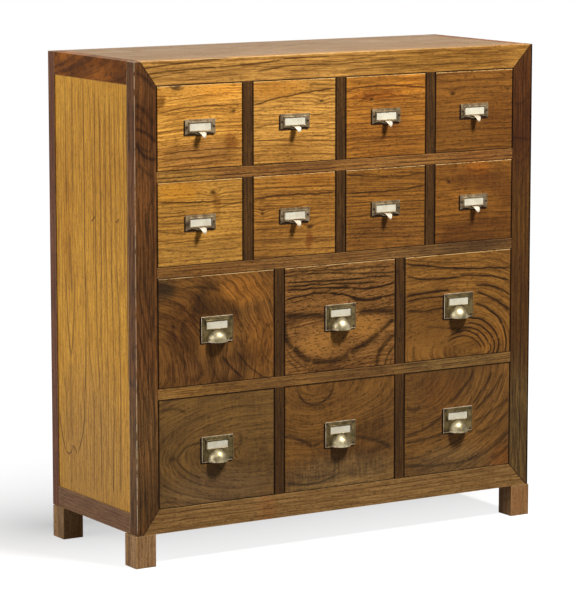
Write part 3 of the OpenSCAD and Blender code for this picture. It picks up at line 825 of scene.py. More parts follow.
sideFrame = {
    "thickness": 24, "backStile": 25, "topRail": 44, "bottomRail": 40, "panel": 10, "panelArris": 0.6,
    "recess": 2, "lap": 2,
}
stileFront = back - sideFrame["backStile"]
panelLow = floorUp + sideFrame["bottomRail"]
panelHigh = top - sideFrame["topRail"]
lap = sideFrame["lap"]
for hand, sign, panelWood in (("left", -1, "panel"), ("right", 1, "rightPanel")):
    xLow, xHigh = sorted((sign * side, sign * (side - sideFrame["thickness"])))
    boards = [
        makeBoard("side_board", (xLow, y, z), (xHigh, yEnd, zEnd), axes, woods[wood])
        for y, z, yEnd, zEnd, axes, wood in (
            (stileFront, floorUp, back, top, "zyx", "sideStile"),
            (frameBack, panelHigh, stileFront, top, "yzx", "sideTop"),
            (frameBack, floorUp, stileFront, panelLow, "yzx", "sideBottom"),
        )
    ]
    boards = joinPieces("side_frame_" + hand + "_boards", boards)
    finishPiece(boards, "carcass", "side_frame_wood", "side_frame_" + hand)
    face = side - sideFrame["recess"]
    xLow, xHigh = sorted((sign * face, sign * (face - sideFrame["panel"])))
    panel = makeBoard(
        "side_panel_" + hand + "_board", (xLow, frameBack - lap, panelLow - lap),
        (xHigh, stileFront + lap, panelHigh + lap), "zyx", woods[panelWood], shift=(0, 0, 0),
        arris=sideFrame["panelArris"],
    )
    finishPiece(panel, "carcass", "golden_panel_wood", "side_panel_" + hand)

topUnder = top - chest["topThickness"]
topBoard = makeBoard(
    "top_board_board", (-inside, frameBack, topUnder), (inside, back, top), "xyz", woods["top"],
    shift=(0, 0, 0),
)
backBoard = makeBoard(
    "back_board_board", (-inside, back - chest["backThickness"], floorUp), (inside, back, topUnder), "zxy",
    woods["back"], shift=(0, 0, 0),
)
finishPiece(topBoard, "carcass", "top_wood", "top_board")
finishPiece(backBoard, "carcass", "inner_wood", "back_board")

foot = {"width": 43, "height": 62, "proud": 3, "backInset": 6, "arris": 0.8}
feet = []
for sign in (-1, 1):
    xLow, xHigh = sorted((sign * (side + foot["proud"]), sign * (side + foot["proud"] - foot["width"])))
    for near in (front, back - foot["backInset"] - foot["width"]):
        feet.append(makeBoard(
            "foot", (xLow, near, 0), (xHigh, near + foot["width"], foot["height"]), "zxy", woods["foot"],
            arris=foot["arris"],
        ))
finishPiece(joinPieces("feet_blocks", feet), "carcass", "foot_wood", "feet")

innerWood = {
    "light": "b99767", "middle": "a07c4c", "dark": "6f5230", "cloud": "94703f", "ring": 12,
    "stretch": (10, 10), "warp": 14, "lines": 0.4, "clouds": 0.3, "gloss": 0.6, "seed": 31,
}
woods["box"] = makeWood("drawer box wood", {**innerWood, "seed": 33})
for node, name, seed, turn in (
    ("drawer_shelves", "shelf wood", 31, 0), ("drawer_guides", "guide wood", 32, 90),
):
    wood = makeWood(name, {**innerWood, "seed": seed}, objectTurn=(0, 0, math.radians(turn)))
    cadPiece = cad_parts[node]
    cadPiece.data.materials.clear()
    cadPiece.data.materials.append(wood)

print("case built")

# drawer fronts, each cut from its own board, in rows from the left
smallGrain = {"pith": (0, -420, 40), "stretch": (5, 5), "ring": 8.5, "warp": 9, "warpScale": 9}
smallFronts = [
    {
        "light": "fab852", "middle": "b4792d", "dark": "563114", "cloud": "9d6424", "pith": (40, -330, 40),
        "stretch": (2.4, 3.4), "ring": 8, "warp": 8, "knots": ((-50, 80, 9), (72, 26, 3.6)), "seed": 1.1,
        "calm": ((-10, 74, 90, 16, 0.8),),
        "patches": (
            (-84, 50, 16, 20, (0.42, 0.36, 0.32)), (50, 66, 70, 18, (1.04, 0.95, 0.8)),
            (66, -30, 16, 20, (0.62, 0.52, 0.5)), (0, -58, 130, 48, (0.5, 0.46, 0.57)),
        ),
        "veins": (
            (3, 0.7, -65, 75, -49, 71, -33, 74), (2.5, 0.5, -90, 47, -16, 54, 58, 56),
            (3, 0.85, -90, 30, -8, 38, 93, 37), (2.5, 0.6, -90, 24, -16, 31, 93, 29),
            (2.5, 0.5, -90, 19, -16, 24, 71, 21), (3, 0.6, -90, 11, -60, 15, -30, 17),
            (3, 0.6, -90, 3, -60, 6, -31, 8), (2.5, 0.5, -90, -6, -60, -4, -31, -2),
            (3, 0.5, 38, 5, 66, 8, 93, 7), (2.5, 0.4, -90, -16, -60, -16, -30, -16),
            (2.5, 0.4, -90, -26, -8, -24, 93, -25), (3, 0.5, -90, -44, -8, -43, 93, -46),
            (2.5, 0.45, -90, -56, -8, -56, 93, -58), (3, 0.5, -90, -70, -8, -71, 93, -72),
        ),
    },
    {
        "light": "e0a54f", "middle": "a3702f", "dark": "4c2f13", "cloud": "8d6025", "pith": (160, -400, 40),
        "stretch": (2.9, 2.9), "turn": 6, "ring": 8, "warp": 7, "warpScale": 8, "knots": ((60, 36, 3.2),),
        "seed": 2.4, "calm": ((-40, 62, 70, 26, 0.7),),
        "patches": ((-40, 64, 80, 26, (1.0, 0.9, 0.72)), (0, -60, 130, 40, (0.78, 0.74, 0.72)),),
        "veins": (
            (3.4, 1, -91, 36, -10, 49, 93, 58), (2.5, 0.52, -89, 23, -10, 32, 90, 27),
            (3, 0.69, -89, -7, -56, -4, -32, -2), (3, 0.69, 38, 9, 66, 12, 93, 14),
            (3, 0.57, -89, -32, -10, -31, 93, -27), (3, 0.57, 38, -12, 66, -11, 93, -9),
        ),
    },
    {
        "light": "c07f2f", "middle": "865420", "dark": "42230e", "cloud": "754619", "pith": (20, -380, 40),
        "stretch": (3, 3), "ring": 9, "warp": 10, "knots": ((-34, 34, 3.2),), "seed": 3.6,
        "patches": (
            (-20, 40, 70, 12, (0.85, 0.7, 0.65)), (60, 62, 40, 24, (1.2, 1.15, 1.0)),
            (0, -50, 130, 54, (0.68, 0.66, 0.76)),
        ),
        "veins": (
            (3.4, 0.98, -89, 54, -11, 58, 93, 49), (4.2, 0.63, -54, 36, -20, 42, 26, 39),
            (3.8, 0.52, 26, 39, 55, 36, 78, 30), (3.4, 0.57, -74, 24, -59, 31, -40, 36),
            (2.5, 0.4, -89, -45, -20, -42, 93, -44), (3, 0.46, 44, 15, 67, 12, 93, 12),
        ),
    },
    {
        "light": "8f5d25", "middle": "653f19", "dark": "301a0a", "cloud": "563314", "stretch": (4, 4),
        "ring": 12, "lines": 0.55, "fine": 0.35, "flecks": 0.25, "rays": 0.2, "clouds": 0.55,
        "knots": ((-51, 36, 4), (80, 40, 2.2)), "seed": 4.2, "warpScale": 7,
        "patches": ((60, -20, 50, 70, (0.85, 0.8, 0.8)),),
        "veins": ((3.5, 0.3, -88, 57, -23, 59, 89, 62), (3, 0.3, -82, -70, -23, -72, 89, -71),),
    },
    {
        "light": "dfa449", "middle": "a1702e", "dark": "472b12", "cloud": "8b5a22", "pith": (0, -400, 40),
        "stretch": (6, 3.5), "warp": 6, "warpScale": 8, "knots": ((27, 55, 4.2),), "seed": 5.9,
        "calm": ((-50, 66, 60, 20, 0.7),),
        "patches": (
            (-50, 60, 60, 26, (1.08, 0.98, 0.65)), (34, 34, 12, 26, (0.66, 0.58, 0.52)),
            (0, -60, 130, 34, (1.0, 1.04, 1.14)),
        ),
        "veins": (
            (3.4, 0.92, -91, 45, -25, 39, 37, 39), (3, 0.8, -91, 23, -54, 22, -31, 23),
            (3.4, 0.69, 40, 27, 66, 31, 92, 32), (3, 0.69, -91, 5, -63, 2, -32, 2),
            (3, 0.69, -91, -12, -54, -16, -31, -21), (2.5, 0.57, -89, -30, -10, -37, 92, -32),
            (2.5, 0.57, -81, -45, 4, -53, 92, -50),
        ),
    },
    {
        "light": "bf8538", "middle": "855723", "dark": "3d220f", "cloud": "70441a", "pith": (-40, -420, 40),
        "turn": 2, "warp": 7, "warpScale": 8, "clouds": 0.5, "knots": ((-72, 8, 3.2), (34, -24, 4.5)),
        "seed": 6.3,
        "patches": (
            (0, -60, 130, 40, (1.08, 1.14, 1.27)), (32, -50, 10, 22, (0.66, 0.5, 0.48)),
            (30, 66, 90, 20, (0.9, 0.82, 0.75)),
        ),
        "veins": (
            (4.2, 1, -89, 38, -10, 40, 93, 37), (3, 0.57, -89, 55, -10, 54, 93, 52),
            (3, 0.57, -89, 17, -41, 16, 20, 18), (3.4, 0.69, -89, -6, -56, -8, -32, -7),
            (3, 0.69, -89, -21, -41, -22, -10, -23),
        ),
    },
    {
        "light": "a06b2a", "middle": "6c431c", "dark": "321c0c", "cloud": "583616", "turn": 2, "clouds": 0.5,
        "seed": 7.8,
        "patches": ((0, -55, 130, 45, (0.88, 0.88, 1.02)),),
        "veins": (
            (3.8, 0.8, -89, 70, -40, 63, 9, 61, 44, 60, 93, 64), (3.4, 0.98, -89, 35, -5, 34, 93, 39),
            (3.4, 0.57, -89, -10, -63, -10, -34, -9), (5.1, 0.46, 38, -8, 67, -5, 93, -4),
            (3.4, 0.69, -54, -48, -47, -42, -34, -40),
        ),
    },
    {
        "light": "986326", "middle": "6b421a", "dark": "331c0a", "cloud": "542f14", "stretch": (4, 4),
        "ring": 12, "warp": 14, "lines": 0.55, "fine": 0.35, "flecks": 0.25, "rays": 0.15, "clouds": 0.7,
        "cloudScale": 14, "knots": ((-60, 42, 3),), "seed": 8.5,
        "patches": ((10, 66, 34, 20, (1.5, 1.3, 1.0)), (0, -60, 120, 40, (0.58, 0.55, 0.68)),),
        "veins": (
            (7, 0.4, -17, 68, -2, 60, 24, 61), (5, 0.45, -85, 42, -67, 49, -54, 39),
            (5, 0.4, -88, 12, -70, 16, -52, 8), (3, 0.3, -88, -62, -23, -69, 92, -65),
        ),
    },
]
largeGrain = {"lines": 0.2, "fine": 0.3, "ring": 30, "warp": 30, "warpScale": 9, "heart": 6}
largeFronts = [
    {
        "light": "8a5d2b", "middle": "57371a", "dark": "1e1108", "cloud": "37210d", "pith": (-160, -60, 20),
        "stretch": (1.2, 1.2), "ring": 26, "warp": 60, "flecks": 0.15, "rays": 0.12, "clouds": 0.85,
        "cloudScale": 13, "seed": 9.1, "heart": 0,
        "patches": (
            (-112, 84, 30, 26, (0.36, 0.42, 0.6)), (-74, 10, 50, 84, (0.68, 0.62, 0.62)),
            (60, 70, 76, 34, (1.7, 1.55, 1.15)), (100, -30, 44, 70, (1.25, 1.15, 1.0)),
            (-60, -80, 70, 30, (0.85, 0.82, 0.85)), (0, -70, 140, 40, (0.86, 0.86, 0.94)),
        ),
        "veins": (
            (6, 0.77, 12, -53, 30, -75, 56, -99), (5, 0.66, 42, -45, 69, -75, 110, -104),
            (6, 0.44, -17, -55, -9, -78, 7, -100), (5, 0.39, 126, 5, 99, -33, 126, -80),
            (6, 0.55, -76, 80, -33, 82, 3, 74), (16, 0.5, -68, 28, -74, -5, -60, -40),
            (10, 0.5, -95, 21, -92, -17, -72, -59), (12, 0.33, -36, 66, -48, 27, -36, -21),
            (9, 0.33, 85, 36, 93, 15, 85, -5),
        ),
    },
    {
        "light": "a06f39", "middle": "6b4521", "dark": "1d0f04", "cloud": "4d3016", "pith": (0, -420, 40),
        "stretch": (4, 4), "turn": -6, "ring": 11, "warp": 16, "warpScale": 10, "ripple": 6, "fine": 0.5,
        "flecks": 0.7, "seed": 10.6,
        "calm": ((-45, -45, 66, 40, 1), (54, -28, 72, 36, 1), (0, 24, 110, 16, 0.6)), "heart": 0,
        "patches": (
            (-44, -46, 58, 30, (1.4, 1.42, 1.25)), (58, -22, 58, 26, (1.4, 1.4, 1.2)),
            (0, 84, 140, 26, (0.99, 1.04, 1.06)), (-112, 6, 30, 16, (0.62, 0.6, 0.62)),
            (0, -96, 90, 14, (0.7, 0.68, 0.7)),
        ),
        "veins": (
            (4.2, 0.81, -124, 95, -8, 93, 125, 90), (4.2, 0.81, -124, 86, -44, 88, 40, 82, 83, 79, 125, 79),
            (4.2, 1, -124, 75, -26, 72, 123, 72), (4.2, 0.94, -124, 68, -26, 65, 83, 60),
            (5, 1, -124, 61, -48, 59, 25, 54, 83, 51, 127, 60),
            (5, 1, -124, 43, -73, 49, -26, 48, 10, 42, 40, 34), (9, 1, 25, 37, 61, 29, 98, 31),
            (5, 1, 98, 31, 112, 33, 127, 36), (3.5, 0.6, 40, 12, 83, 14, 127, 25),
            (15.8, 0.8, -124, 8, -81, 10, -33, 3), (15.8, 0.8, 43, 5, 83, 5, 125, -2),
            (13, 0.82, -127, -5, -122, -33, -108, -54), (17, 0.84, -106, -52, -88, -69, -66, -79),
            (15.5, 0.84, -66, -79, -19, -83, 21, -73, 61, -55, 91, -39),
            (9.5, 0.8, 91, -39, 109, -25, 123, -15), (12.2, 0.76, 83, -103, 92, -76, 125, -47),
            (5, 0.7, 103, -105, 109, -87, 127, -67), (3, 0.6, 116, -106, 118, -94, 127, -82),
            (4, 0.6, -124, -45, -110, -70, -81, -91), (4, 0.5, -124, -63, -113, -79, -95, -97),
            (4, 0.5, -62, -99, 18, -97, 69, -80), (3, 0.5, -104, -22, -95, -5, -81, 0),
            (3, 0.4, -81, 0, -59, -1, -33, -7),
        ),
    },
    {
        "light": "9b6b30", "middle": "67421c", "dark": "241409", "cloud": "543416", "pith": (42, -92, 8),
        "stretch": (3.2, 1.0), "turn": 2, "ring": 10, "heart": 24, "warp": 14, "warpScale": 8, "ripple": 5,
        "lines": 0.15, "fine": 0.35, "rays": 0.1, "clouds": 0.5, "seed": 11.4,
        "calm": ((-60, -56, 80, 46, 0.9),),
        "patches": ((70, -70, 60, 36, (1.15, 1.1, 1.0)), (0, -70, 150, 50, (1.09, 1.1, 1.12)),),
        "veins": (
            (5.2, 1, -126, 91, -41, 78, 125, 67), (4.2, 0.62, -126, 98, -41, 89, 65, 87),
            (5.2, 0.88, -122, 67, -62, 56, 2, 57), (5.2, 0.94, 2, 57, 57, 55, 125, 40),
            (6.3, 1, -122, 27, -71, 32, -20, 31), (5.2, 0.88, 40, 39, 91, 28, 125, 11),
            (5.2, 0.88, -122, 15, -83, 21, -32, 20), (6.3, 0.75, -122, -4, -83, -4, -32, -1),
            (6.3, 1, 44, 24, 82, 8, 125, -21), (5.8, 1, 40, 0, 82, -18, 108, -49),
            (5.2, 1, 108, -49, 116, -74, 114, -105), (5.2, 1, 31, -28, 74, -42, 97, -73, 99, -91, 91, -104),
            (4.7, 1, 23, -38, 61, -48, 87, -75, 89, -90, 81, -103),
            (4.7, 1, 10, -47, 50, -55, 76, -81, 79, -92, 72, -102), (4.7, 1, -20, -59, 40, -60, 67, -91),
            (4.2, 0.88, -24, -69, 31, -67, 57, -90), (5.2, 0.5, -75, -36, -20, -44, 23, -50),
        ),
    },
    {
        "light": "866232", "middle": "604425", "dark": "302113", "cloud": "4c361e", "pith": (70, -16, 14),
        "stretch": (2.4, 5), "warpScale": 7, "flecks": 0.2, "rays": 0.25, "clouds": 0.7, "seed": 12.3,
        "patches": ((0, -80, 150, 50, (1.04, 1.12, 1.5)),),
        "veins": (
            (5, 0.72, -91, -12, -68, 8, -34, 14), (5, 0.72, -91, -12, -68, -36, -33, -52),
            (11, 0.6, -107, -13, -96, -10, -85, -16), (7.7, 0.54, -123, 82, -95, 84, -70, 75),
            (5.5, 0.54, -123, -92, -48, -101, 11, -118), (9.9, 0.48, 48, 24, 52, 7, 40, -9),
        ),
    },
    {
        "light": "875c2b", "middle": "5c3d1c", "dark": "281a0f", "cloud": "462c15", "pith": (-55, 106, 8),
        "stretch": (1.7, 2.2), "lines": 0.25, "fine": 0.25, "flecks": 0.25, "rays": 0.4, "clouds": 0.75,
        "cloudScale": 10, "seed": 13.7,
        "patches": ((0, -85, 160, 50, (1.44, 1.82, 2.55)), (100, -10, 50, 90, (0.82, 0.84, 0.92)),),
        "veins": (
            (5.5, 0.8, -99, 97, -57, 62, -15, 98), (9.9, 0.69, -127, 7, -96, -1, -63, -18),
            (6.6, 0.57, -63, -18, -46, -12, -29, -8), (9.9, 0.63, 32, -10, 77, -19, 118, -42),
            (5.5, 0.69, -123, -85, -67, -92, -1, -76), (3.9, 0.46, -116, -63, -55, -79, -5, -66),
            (4.4, 0.4, -1, -76, 36, -84, 110, -85),
        ),
    },
    {
        "light": "8e622f", "middle": "60401f", "dark": "291a0e", "cloud": "4b3118", "pith": (-115, 110, 12),
        "stretch": (1.7, 1.3), "ring": 16, "heart": 50, "warp": 20, "warpScale": 7, "ripple": 4, "fine": 0.4,
        "rays": 0.15, "clouds": 0.65, "seed": 14.8,
        "patches": (
            (116, -90, 44, 36, (1.1, 0.93, 0.86)), (-40, 60, 60, 40, (1.1, 1.0, 0.95)),
            (-20, -85, 120, 40, (1.02, 1.19, 1.58)),
        ),
        "veins": (
            (8.1, 0.75, 40, 98, 14, 61, -20, 36), (6.8, 0.69, 82, 89, 61, 53, 36, 31),
            (6.8, 0.69, 108, 83, 76, 41, 40, 16), (6.8, 0.57, 125, 32, 91, 11, 40, -9),
            (7.4, 0.57, 125, 3, 91, -20, 44, -31), (8.1, 0.75, -32, 13, -71, -8, -122, -21),
            (7.4, 0.69, -28, -23, -71, -31, -122, -35), (10.8, 0.69, 125, -36, 74, -70, 23, -86),
            (6.8, 0.57, 23, -86, -41, -87, -122, -81), (10.8, 0.57, -122, 37, -105, 30, -88, 36),
            (8.1, 0.57, 125, -65, 108, -78, 82, -86),
        ),
    },
]

# the two plate sizes at the end are half the size of each plate, along whose left and lower edges a painted
# shadow lies
drawer = {
    "gap": 1.5, "gapUnder": 0.8, "front": 18, "frontArris": 0.8, "length": 318, "wall": 10, "rear": 10,
    "bottom": 5, "bottomUp": 7, "runClearance": 0.3, "sideDrop": 16, "boxArris": 0.8, "bottomArris": 0.3,
    # the rim tone is pale wear with a painted highlight on a front's top edge
    "boxShifts": (1, 0.2), "rim": "d8b27a", "rimAmount": 0.7, "smallPlateShadow": (32.5, 14.5),
    "largePlateShadow": (34.5, 25),
}
fronts = [{**smallGrain, "paintedShade": drawer["smallPlateShadow"], **look} for look in smallFronts]
fronts += [{**largeGrain, "paintedShade": drawer["largePlateShadow"], **look} for look in largeFronts]

drawers = []
for row in range(len(chest["columns"])):
    size = "small" if row < 2 else "large"
    base = chest["rowFloors"][row]
    high = chest["rowHeights"][row]
    width = columnWidth(row)
    for column in range(chest["columns"][row]):
        name = size + "_drawer_" + str(column + 1 + (row % 2) * chest["columns"][row])
        left = columnLeft(row, column)
        look = {"rim": drawer["rim"], "rimAmount": drawer["rimAmount"], **fronts[len(drawers)]}
        # painted shade on a front's side and lower edges, and on its top edge too in the lowest row
        board = makeBoard(
            name + "_face", (left + drawer["gap"], front, base + drawer["gapUnder"]),
            (left + width - drawer["gap"], front + drawer["front"], base + high - drawer["gap"]), "xzy",
            makeWood(name + " wood", look), arris=drawer["frontArris"], shift=(0, 0, 0),
            shadedEdges=("left", "right", "below", "above") if row == 3 else ("left", "right", "below"),
        )
        finishPiece(board, name, "amber_front_wood" if row < 2 else "brown_front_wood", name + "_front")
        drawers.append((name, size, Vector((left + width / 2, front, base + high / 2))))

print("drawer fronts built")


def makeDrawerBox(row):
    # the open box behind a front, with the middle of the opening's face as its zero
    half = columnWidth(row) / 2 - drawer["gap"]
    low = -chest["rowHeights"][row] / 2 + drawer["runClearance"]
    rim = chest["rowHeights"][row] / 2 - drawer["sideDrop"]
    near = drawer["front"]
    far = drawer["length"]
    rear = far - drawer["rear"]
    wall = half - drawer["wall"]
    base = low + drawer["bottomUp"]
    return joinPieces("box", [
        makeBoard("box_board", lowest, highest, axes, woods["box"], arris=drawer[arris])
        for lowest, highest, axes, arris in (
            ((-half, near, low), (-wall, far, rim), "yzx", "boxArris"),
            ((wall, near, low), (half, far, rim), "yzx", "boxArris"),
            ((-wall, rear, low), (wall, far, rim), "xzy", "boxArris"),
            ((-wall, near, base), (wall, rear, base + drawer["bottom"]), "xyz", "bottomArris"),
        )
    ])


boxes = {"small": makeDrawerBox(0), "large": makeDrawerBox(2)}
for name, size, middle in drawers:
    piece = copyTo(boxes[size], name + "_case", middle)
    step = Vector([chance.uniform(-most, most) for most in drawer["boxShifts"]] + [0])
    for value in piece.data.attributes["lumber"].data:
        value.vector = Vector(value.vector) + step
    finishPiece(piece, name, "inner_wood", name + "_box")
for piece in boxes.values():
    bpy.data.objects.remove(piece)

print("drawer boxes built")

# metal and paper: three tones, roughness, size of the blotches and how much is bare metal
metalLook = {
    "nickel": ("8a785c", "63533d", "2e2519", 0.36, 90, 1),
    # pale wear with a painted highlight
    "wearAndHighlight": ("c9b79c", "a08e72", "5c4c39", 0.4, 90, 1),
    "polished": ("cdc2b1", "b3a690", "7e705a", 0.52, 90, 0.4),
    "brass": ("6f6040", "50452c", "272014", 0.3, 70, 1),
    "dome": ("b4a888", "82765a", "3a3120", 0.27, 60, 1),
    "screw": ("54463a", "3a3028", "1c1611", 0.45, 120, 1),
    "shadowed": ("30271c", "211a12", "120d08", 0.6, 120, 1),
}
metalRelief = {"relief": 0.12, "reliefDepth": 0.0002}
paperLook = {
    "light": "d6d1be", "shade": "c8c0aa", "roughness": 0.8, "specular": 0.2, "relief": 0.1,
    "reliefDepth": 0.0001,
}


def makePatinaGroup():
    group, given = newGroup("patina", Color="bright middle tarnish", Float="scale gloss")
    where = place(group, "ShaderNodeTexCoord").outputs["Object"]
    blotch = noise(group, where, given["scale"], 4, 0.65)[0]
    fine = noise(group, where, 900, 3, 0.6)[0]
    brushed = longNoise(group, where, (150, 1500, 1500))
    colour = blendColours(group, smooth(group, blotch, 0.35, 0.6), given["bright"], given["middle"])
    for share in (times(group, smooth(group, blotch, 0.55, 0.75), 0.7),
                  times(group, smooth(group, fine, 0.62, 0.72), 0.5)):
        colour = blendColours(group, share, colour, given["tarnish"])
    rough = maths(group, "MULTIPLY_ADD", blotch, 0.25, given["gloss"])
    rough = maths(group, "MULTIPLY_ADD", brushed, 0.08, rough)
    height = maths(group, "MULTIPLY_ADD", brushed, 0.4, fine)
    return closeGroup(group, colour=colour, roughness=rough, height=height)


patinaGroup = makePatinaGroup()


def makeMetal(name, bright, middle, tarnish, roughness, scale, metallic):
    material, tree, shader = newMaterial("aged " + name)
    patina = addGroup(
        tree, patinaGroup, bright=tone(bright), middle=tone(middle), tarnish=tone(tarnish), scale=scale,
        gloss=roughness,
    )
    tree.links.new(patina["colour"], shader["Base Color"])
    tree.links.new(patina["roughness"], shader["Roughness"])
    shader["Metallic"].default_value = metallic
    addRelief(tree, shader, patina["height"], metalRelief)
    return material


metals = {name: makeMetal(name, *look) for name, look in metalLook.items()}


def makePaper():
    material, tree, shader = newMaterial("card")
    where = place(tree, "ShaderNodeTexCoord").outputs["Object"]
    cloudy = smooth(tree, noise(tree, where, 60, 3, 0.6)[0], 0.4, 0.7)
    fibres = longNoise(tree, where, (500, 1200, 1800), 3, 0.7)
    shade = tone(paperLook["shade"])
    colour = blendColours(tree, cloudy, tone(paperLook["light"]), shade)
    colour = blendColours(tree, times(tree, fibres, 0.3), colour, shade)
    tree.links.new(colour, shader["Base Color"])
    shader["Roughness"].default_value = paperLook["roughness"]
    shader["Specular IOR Level"].default_value = paperLook["specular"]
    addRelief(tree, shader, fibres, paperLook)
    return material


paper = makePaper()

# label plates; a plate's back is on Y = 0 and its middle at X = 0, Z = 0
plate = {
    "thickness": 1.2, "bevel": 0.8, "rimBevel": 0.3, "smallSize": (65, 29), "largeSize": (69, 50.05),
    "scallop": 3.2, "archCorners": 160, "cutter": 10, "window": (45, 14), "bar": 3, "barOut": 1.4,
    "barBevel": 0.5, "wallMargin": 0.6, "largeWindowUp": 8.225, "rim": 1.3, "rimOut": 0.45, "highlightStrip": 1,
    "smallScrews": ((-28.6, 0), (28.6, 0)),
    "largeScrews": ((-29.9, -20.425), (-29.9, 20.425), (29.9, -20.425), (29.9, 20.425)),
}
card = {"clearance": 0.2, "thickness": 0.4, "behind": 0.1, "bevel": 0.12}
screw = {"width": 4.6, "height": 1.3, "corners": 28, "slot": 0.8, "slotDepth": 0.5, "bevel": 0.75}
hook = {
    "root": 13, "tip": 6, "thickness": 1.8, "out": 15.5, "radius": 10.3, "drop": 10.5, "up": 5,
    "taper": 1.6, "tipHalf": 0.9, "bevel": 0.45, "buried": 0.3, "stub": 0.6,
}
cup = {
    "radius": 21.5, "out": 19, "thickness": 1.2, "lip": 1, "middle": 2, "bevel": 0.4, "buried": 0.2,
    "glintHigh": 3.5, "glintOut": 13, "segments": 64, "rings": 48,
}
plateFace = -plate["thickness"]


def paint(piece, metal):
    # the metal, then its painted shade, then its painted highlight with pale wear
    piece.data.materials.clear()
    for name in (metal, "shadowed", "wearAndHighlight"):
        piece.data.materials.append(metals[name])


def makeWindowBar(height, metal):
    half = [value / 2 + plate["bar"] for value in plate["window"]]
    face = plateFace - plate["barOut"]
    piece = addBlock("bar", (-half[0], face, height - half[1]), (half[0], plateFace / 2, height + half[1]))
    editMode(piece)
    pickFront(piece)
    bpy.ops.mesh.inset(thickness=plate["bar"] * mm)
    extrude(0, plate["barOut"], 0)
    pickFrontEdges(piece, face)
    bpy.ops.mesh.bevel(offset=plate["barBevel"] * mm, segments=3, affect="EDGES")
    objectMode()
    paint(piece, metal)
    # painted shade on the window's upper and right walls, painted highlight on the others
    reach = [value / 2 + plate["wallMargin"] for value in plate["window"]]
    for wall in piece.data.polygons:
        middle = wall.center / mm
        if abs(middle.x) < reach[0] and abs(middle.z - height) < reach[1] and abs(wall.normal.y) < 0.95:
            wall.material_index = 1 if wall.normal.x < -0.2 or wall.normal.z < -0.2 else 2
    return piece


def makeScrew(x, z):
    face = plateFace - screw["height"]
    middle = plateFace - screw["height"] / 2
    piece = addRod(x, middle, z, screw["width"] / 2, screw["height"], screw["corners"])
    editMode(piece)
    pickFrontEdges(piece, face)
    bpy.ops.mesh.bevel(offset=screw["bevel"] * mm, segments=4, affect="EDGES")
    objectMode()
    long = screw["width"]
    thick = screw["slot"] / 2
    slot = addBlock("slot", (x - long, face - 1, z - thick), (x + long, face + screw["slotDepth"], z + thick))
    cutWith(piece, slot)
    paint(piece, "screw")
    return piece


def makeHook(metal):
    up = -plate["smallSize"][1] / 2 + hook["up"]
    start = plateFace + hook["buried"]
    under = up - hook["thickness"]
    half = hook["root"] / 2
    piece = addBlock("hook", (-half, start, under), (half, start + hook["stub"], up))
    editMode(piece)
    pickFront(piece)
    reach = plateFace - (hook["out"] - hook["radius"]) - start
    for step in range(2):
        extrude(0, reach / 2, 0)
    centre = (0, (start + reach) * mm, (up - hook["radius"]) * mm)
    bpy.ops.mesh.spin(steps=10, angle=math.radians(-90), axis=(1, 0, 0), center=centre)
    for step in range(3):
        extrude(0, 0, (hook["radius"] - hook["drop"]) / 3)
    # it narrows on the way down, and the tip is rounded
    shape = bmesh.from_edit_mesh(piece.data)
    radius = hook["tip"] / 2
    for point in shape.verts:
        share = min(max((under - point.co.z / mm) / (hook["drop"] - hook["thickness"]), 0), 1)
        limit = radius + (half - radius) * (1 - share) ** hook["taper"]
        below = up - hook["drop"] + radius - point.co.z / mm
        if point.co.y / mm < start + reach - 0.5 and below > 0:
            limit = max(math.sqrt(max(radius ** 2 - below ** 2, 0)), hook["tipHalf"])
        point.co.x = math.copysign(min(abs(point.co.x), limit * mm), point.co.x)
    bmesh.update_edit_mesh(piece.data)
    bpy.ops.mesh.select_all(action="SELECT")
    bpy.ops.mesh.normals_make_consistent(inside=False)
    objectMode()
    roundEdges(piece, hook["bevel"])
    paint(piece, metal)
    # painted shade on the hook's sides
    for face in piece.data.polygons:
        if abs(face.normal.x) > 0.6:
            face.material_index = 1
    return piece


def makeCup(metal):
    lip = -plate["largeSize"][1] / 2 + cup["lip"]
    ball = (cup["radius"] ** 2 + cup["out"] ** 2) / (2 * cup["out"])
    bpy.ops.object.select_all(action="DESELECT")
    bpy.ops.mesh.primitive_uv_sphere_add(
        segments=cup["segments"], ring_count=cup["rings"], radius=ball * mm,
        location=(0, (plateFace + ball - cup["out"]) * mm, (lip + cup["middle"]) * mm),
    )
    piece = bpy.context.object
    bpy.ops.object.transform_apply(location=True, rotation=True, scale=True)
    editMode(piece)
    seat = (0, (plateFace + cup["buried"]) * mm, 0)
    for spot, normal in ((seat, (0, 1, 0)), ((0, 0, lip * mm), (0, 0, -1))):
        bpy.ops.mesh.select_all(action="SELECT")
        bpy.ops.mesh.bisect(plane_co=spot, plane_no=normal, clear_outer=True)
    objectMode()
    applyModifier(piece, "SOLIDIFY", thickness=cup["thickness"] * mm, offset=-1)
    roundEdges(piece, cup["bevel"])
    paint(piece, metal)
    # painted highlight on the two corners of the lip
    for face in piece.data.polygons:
        middle = face.center / mm
        if middle.z - lip < cup["glintHigh"] and abs(middle.x) > cup["glintOut"] and face.normal.y < 0:
            face.material_index = 2
    return piece


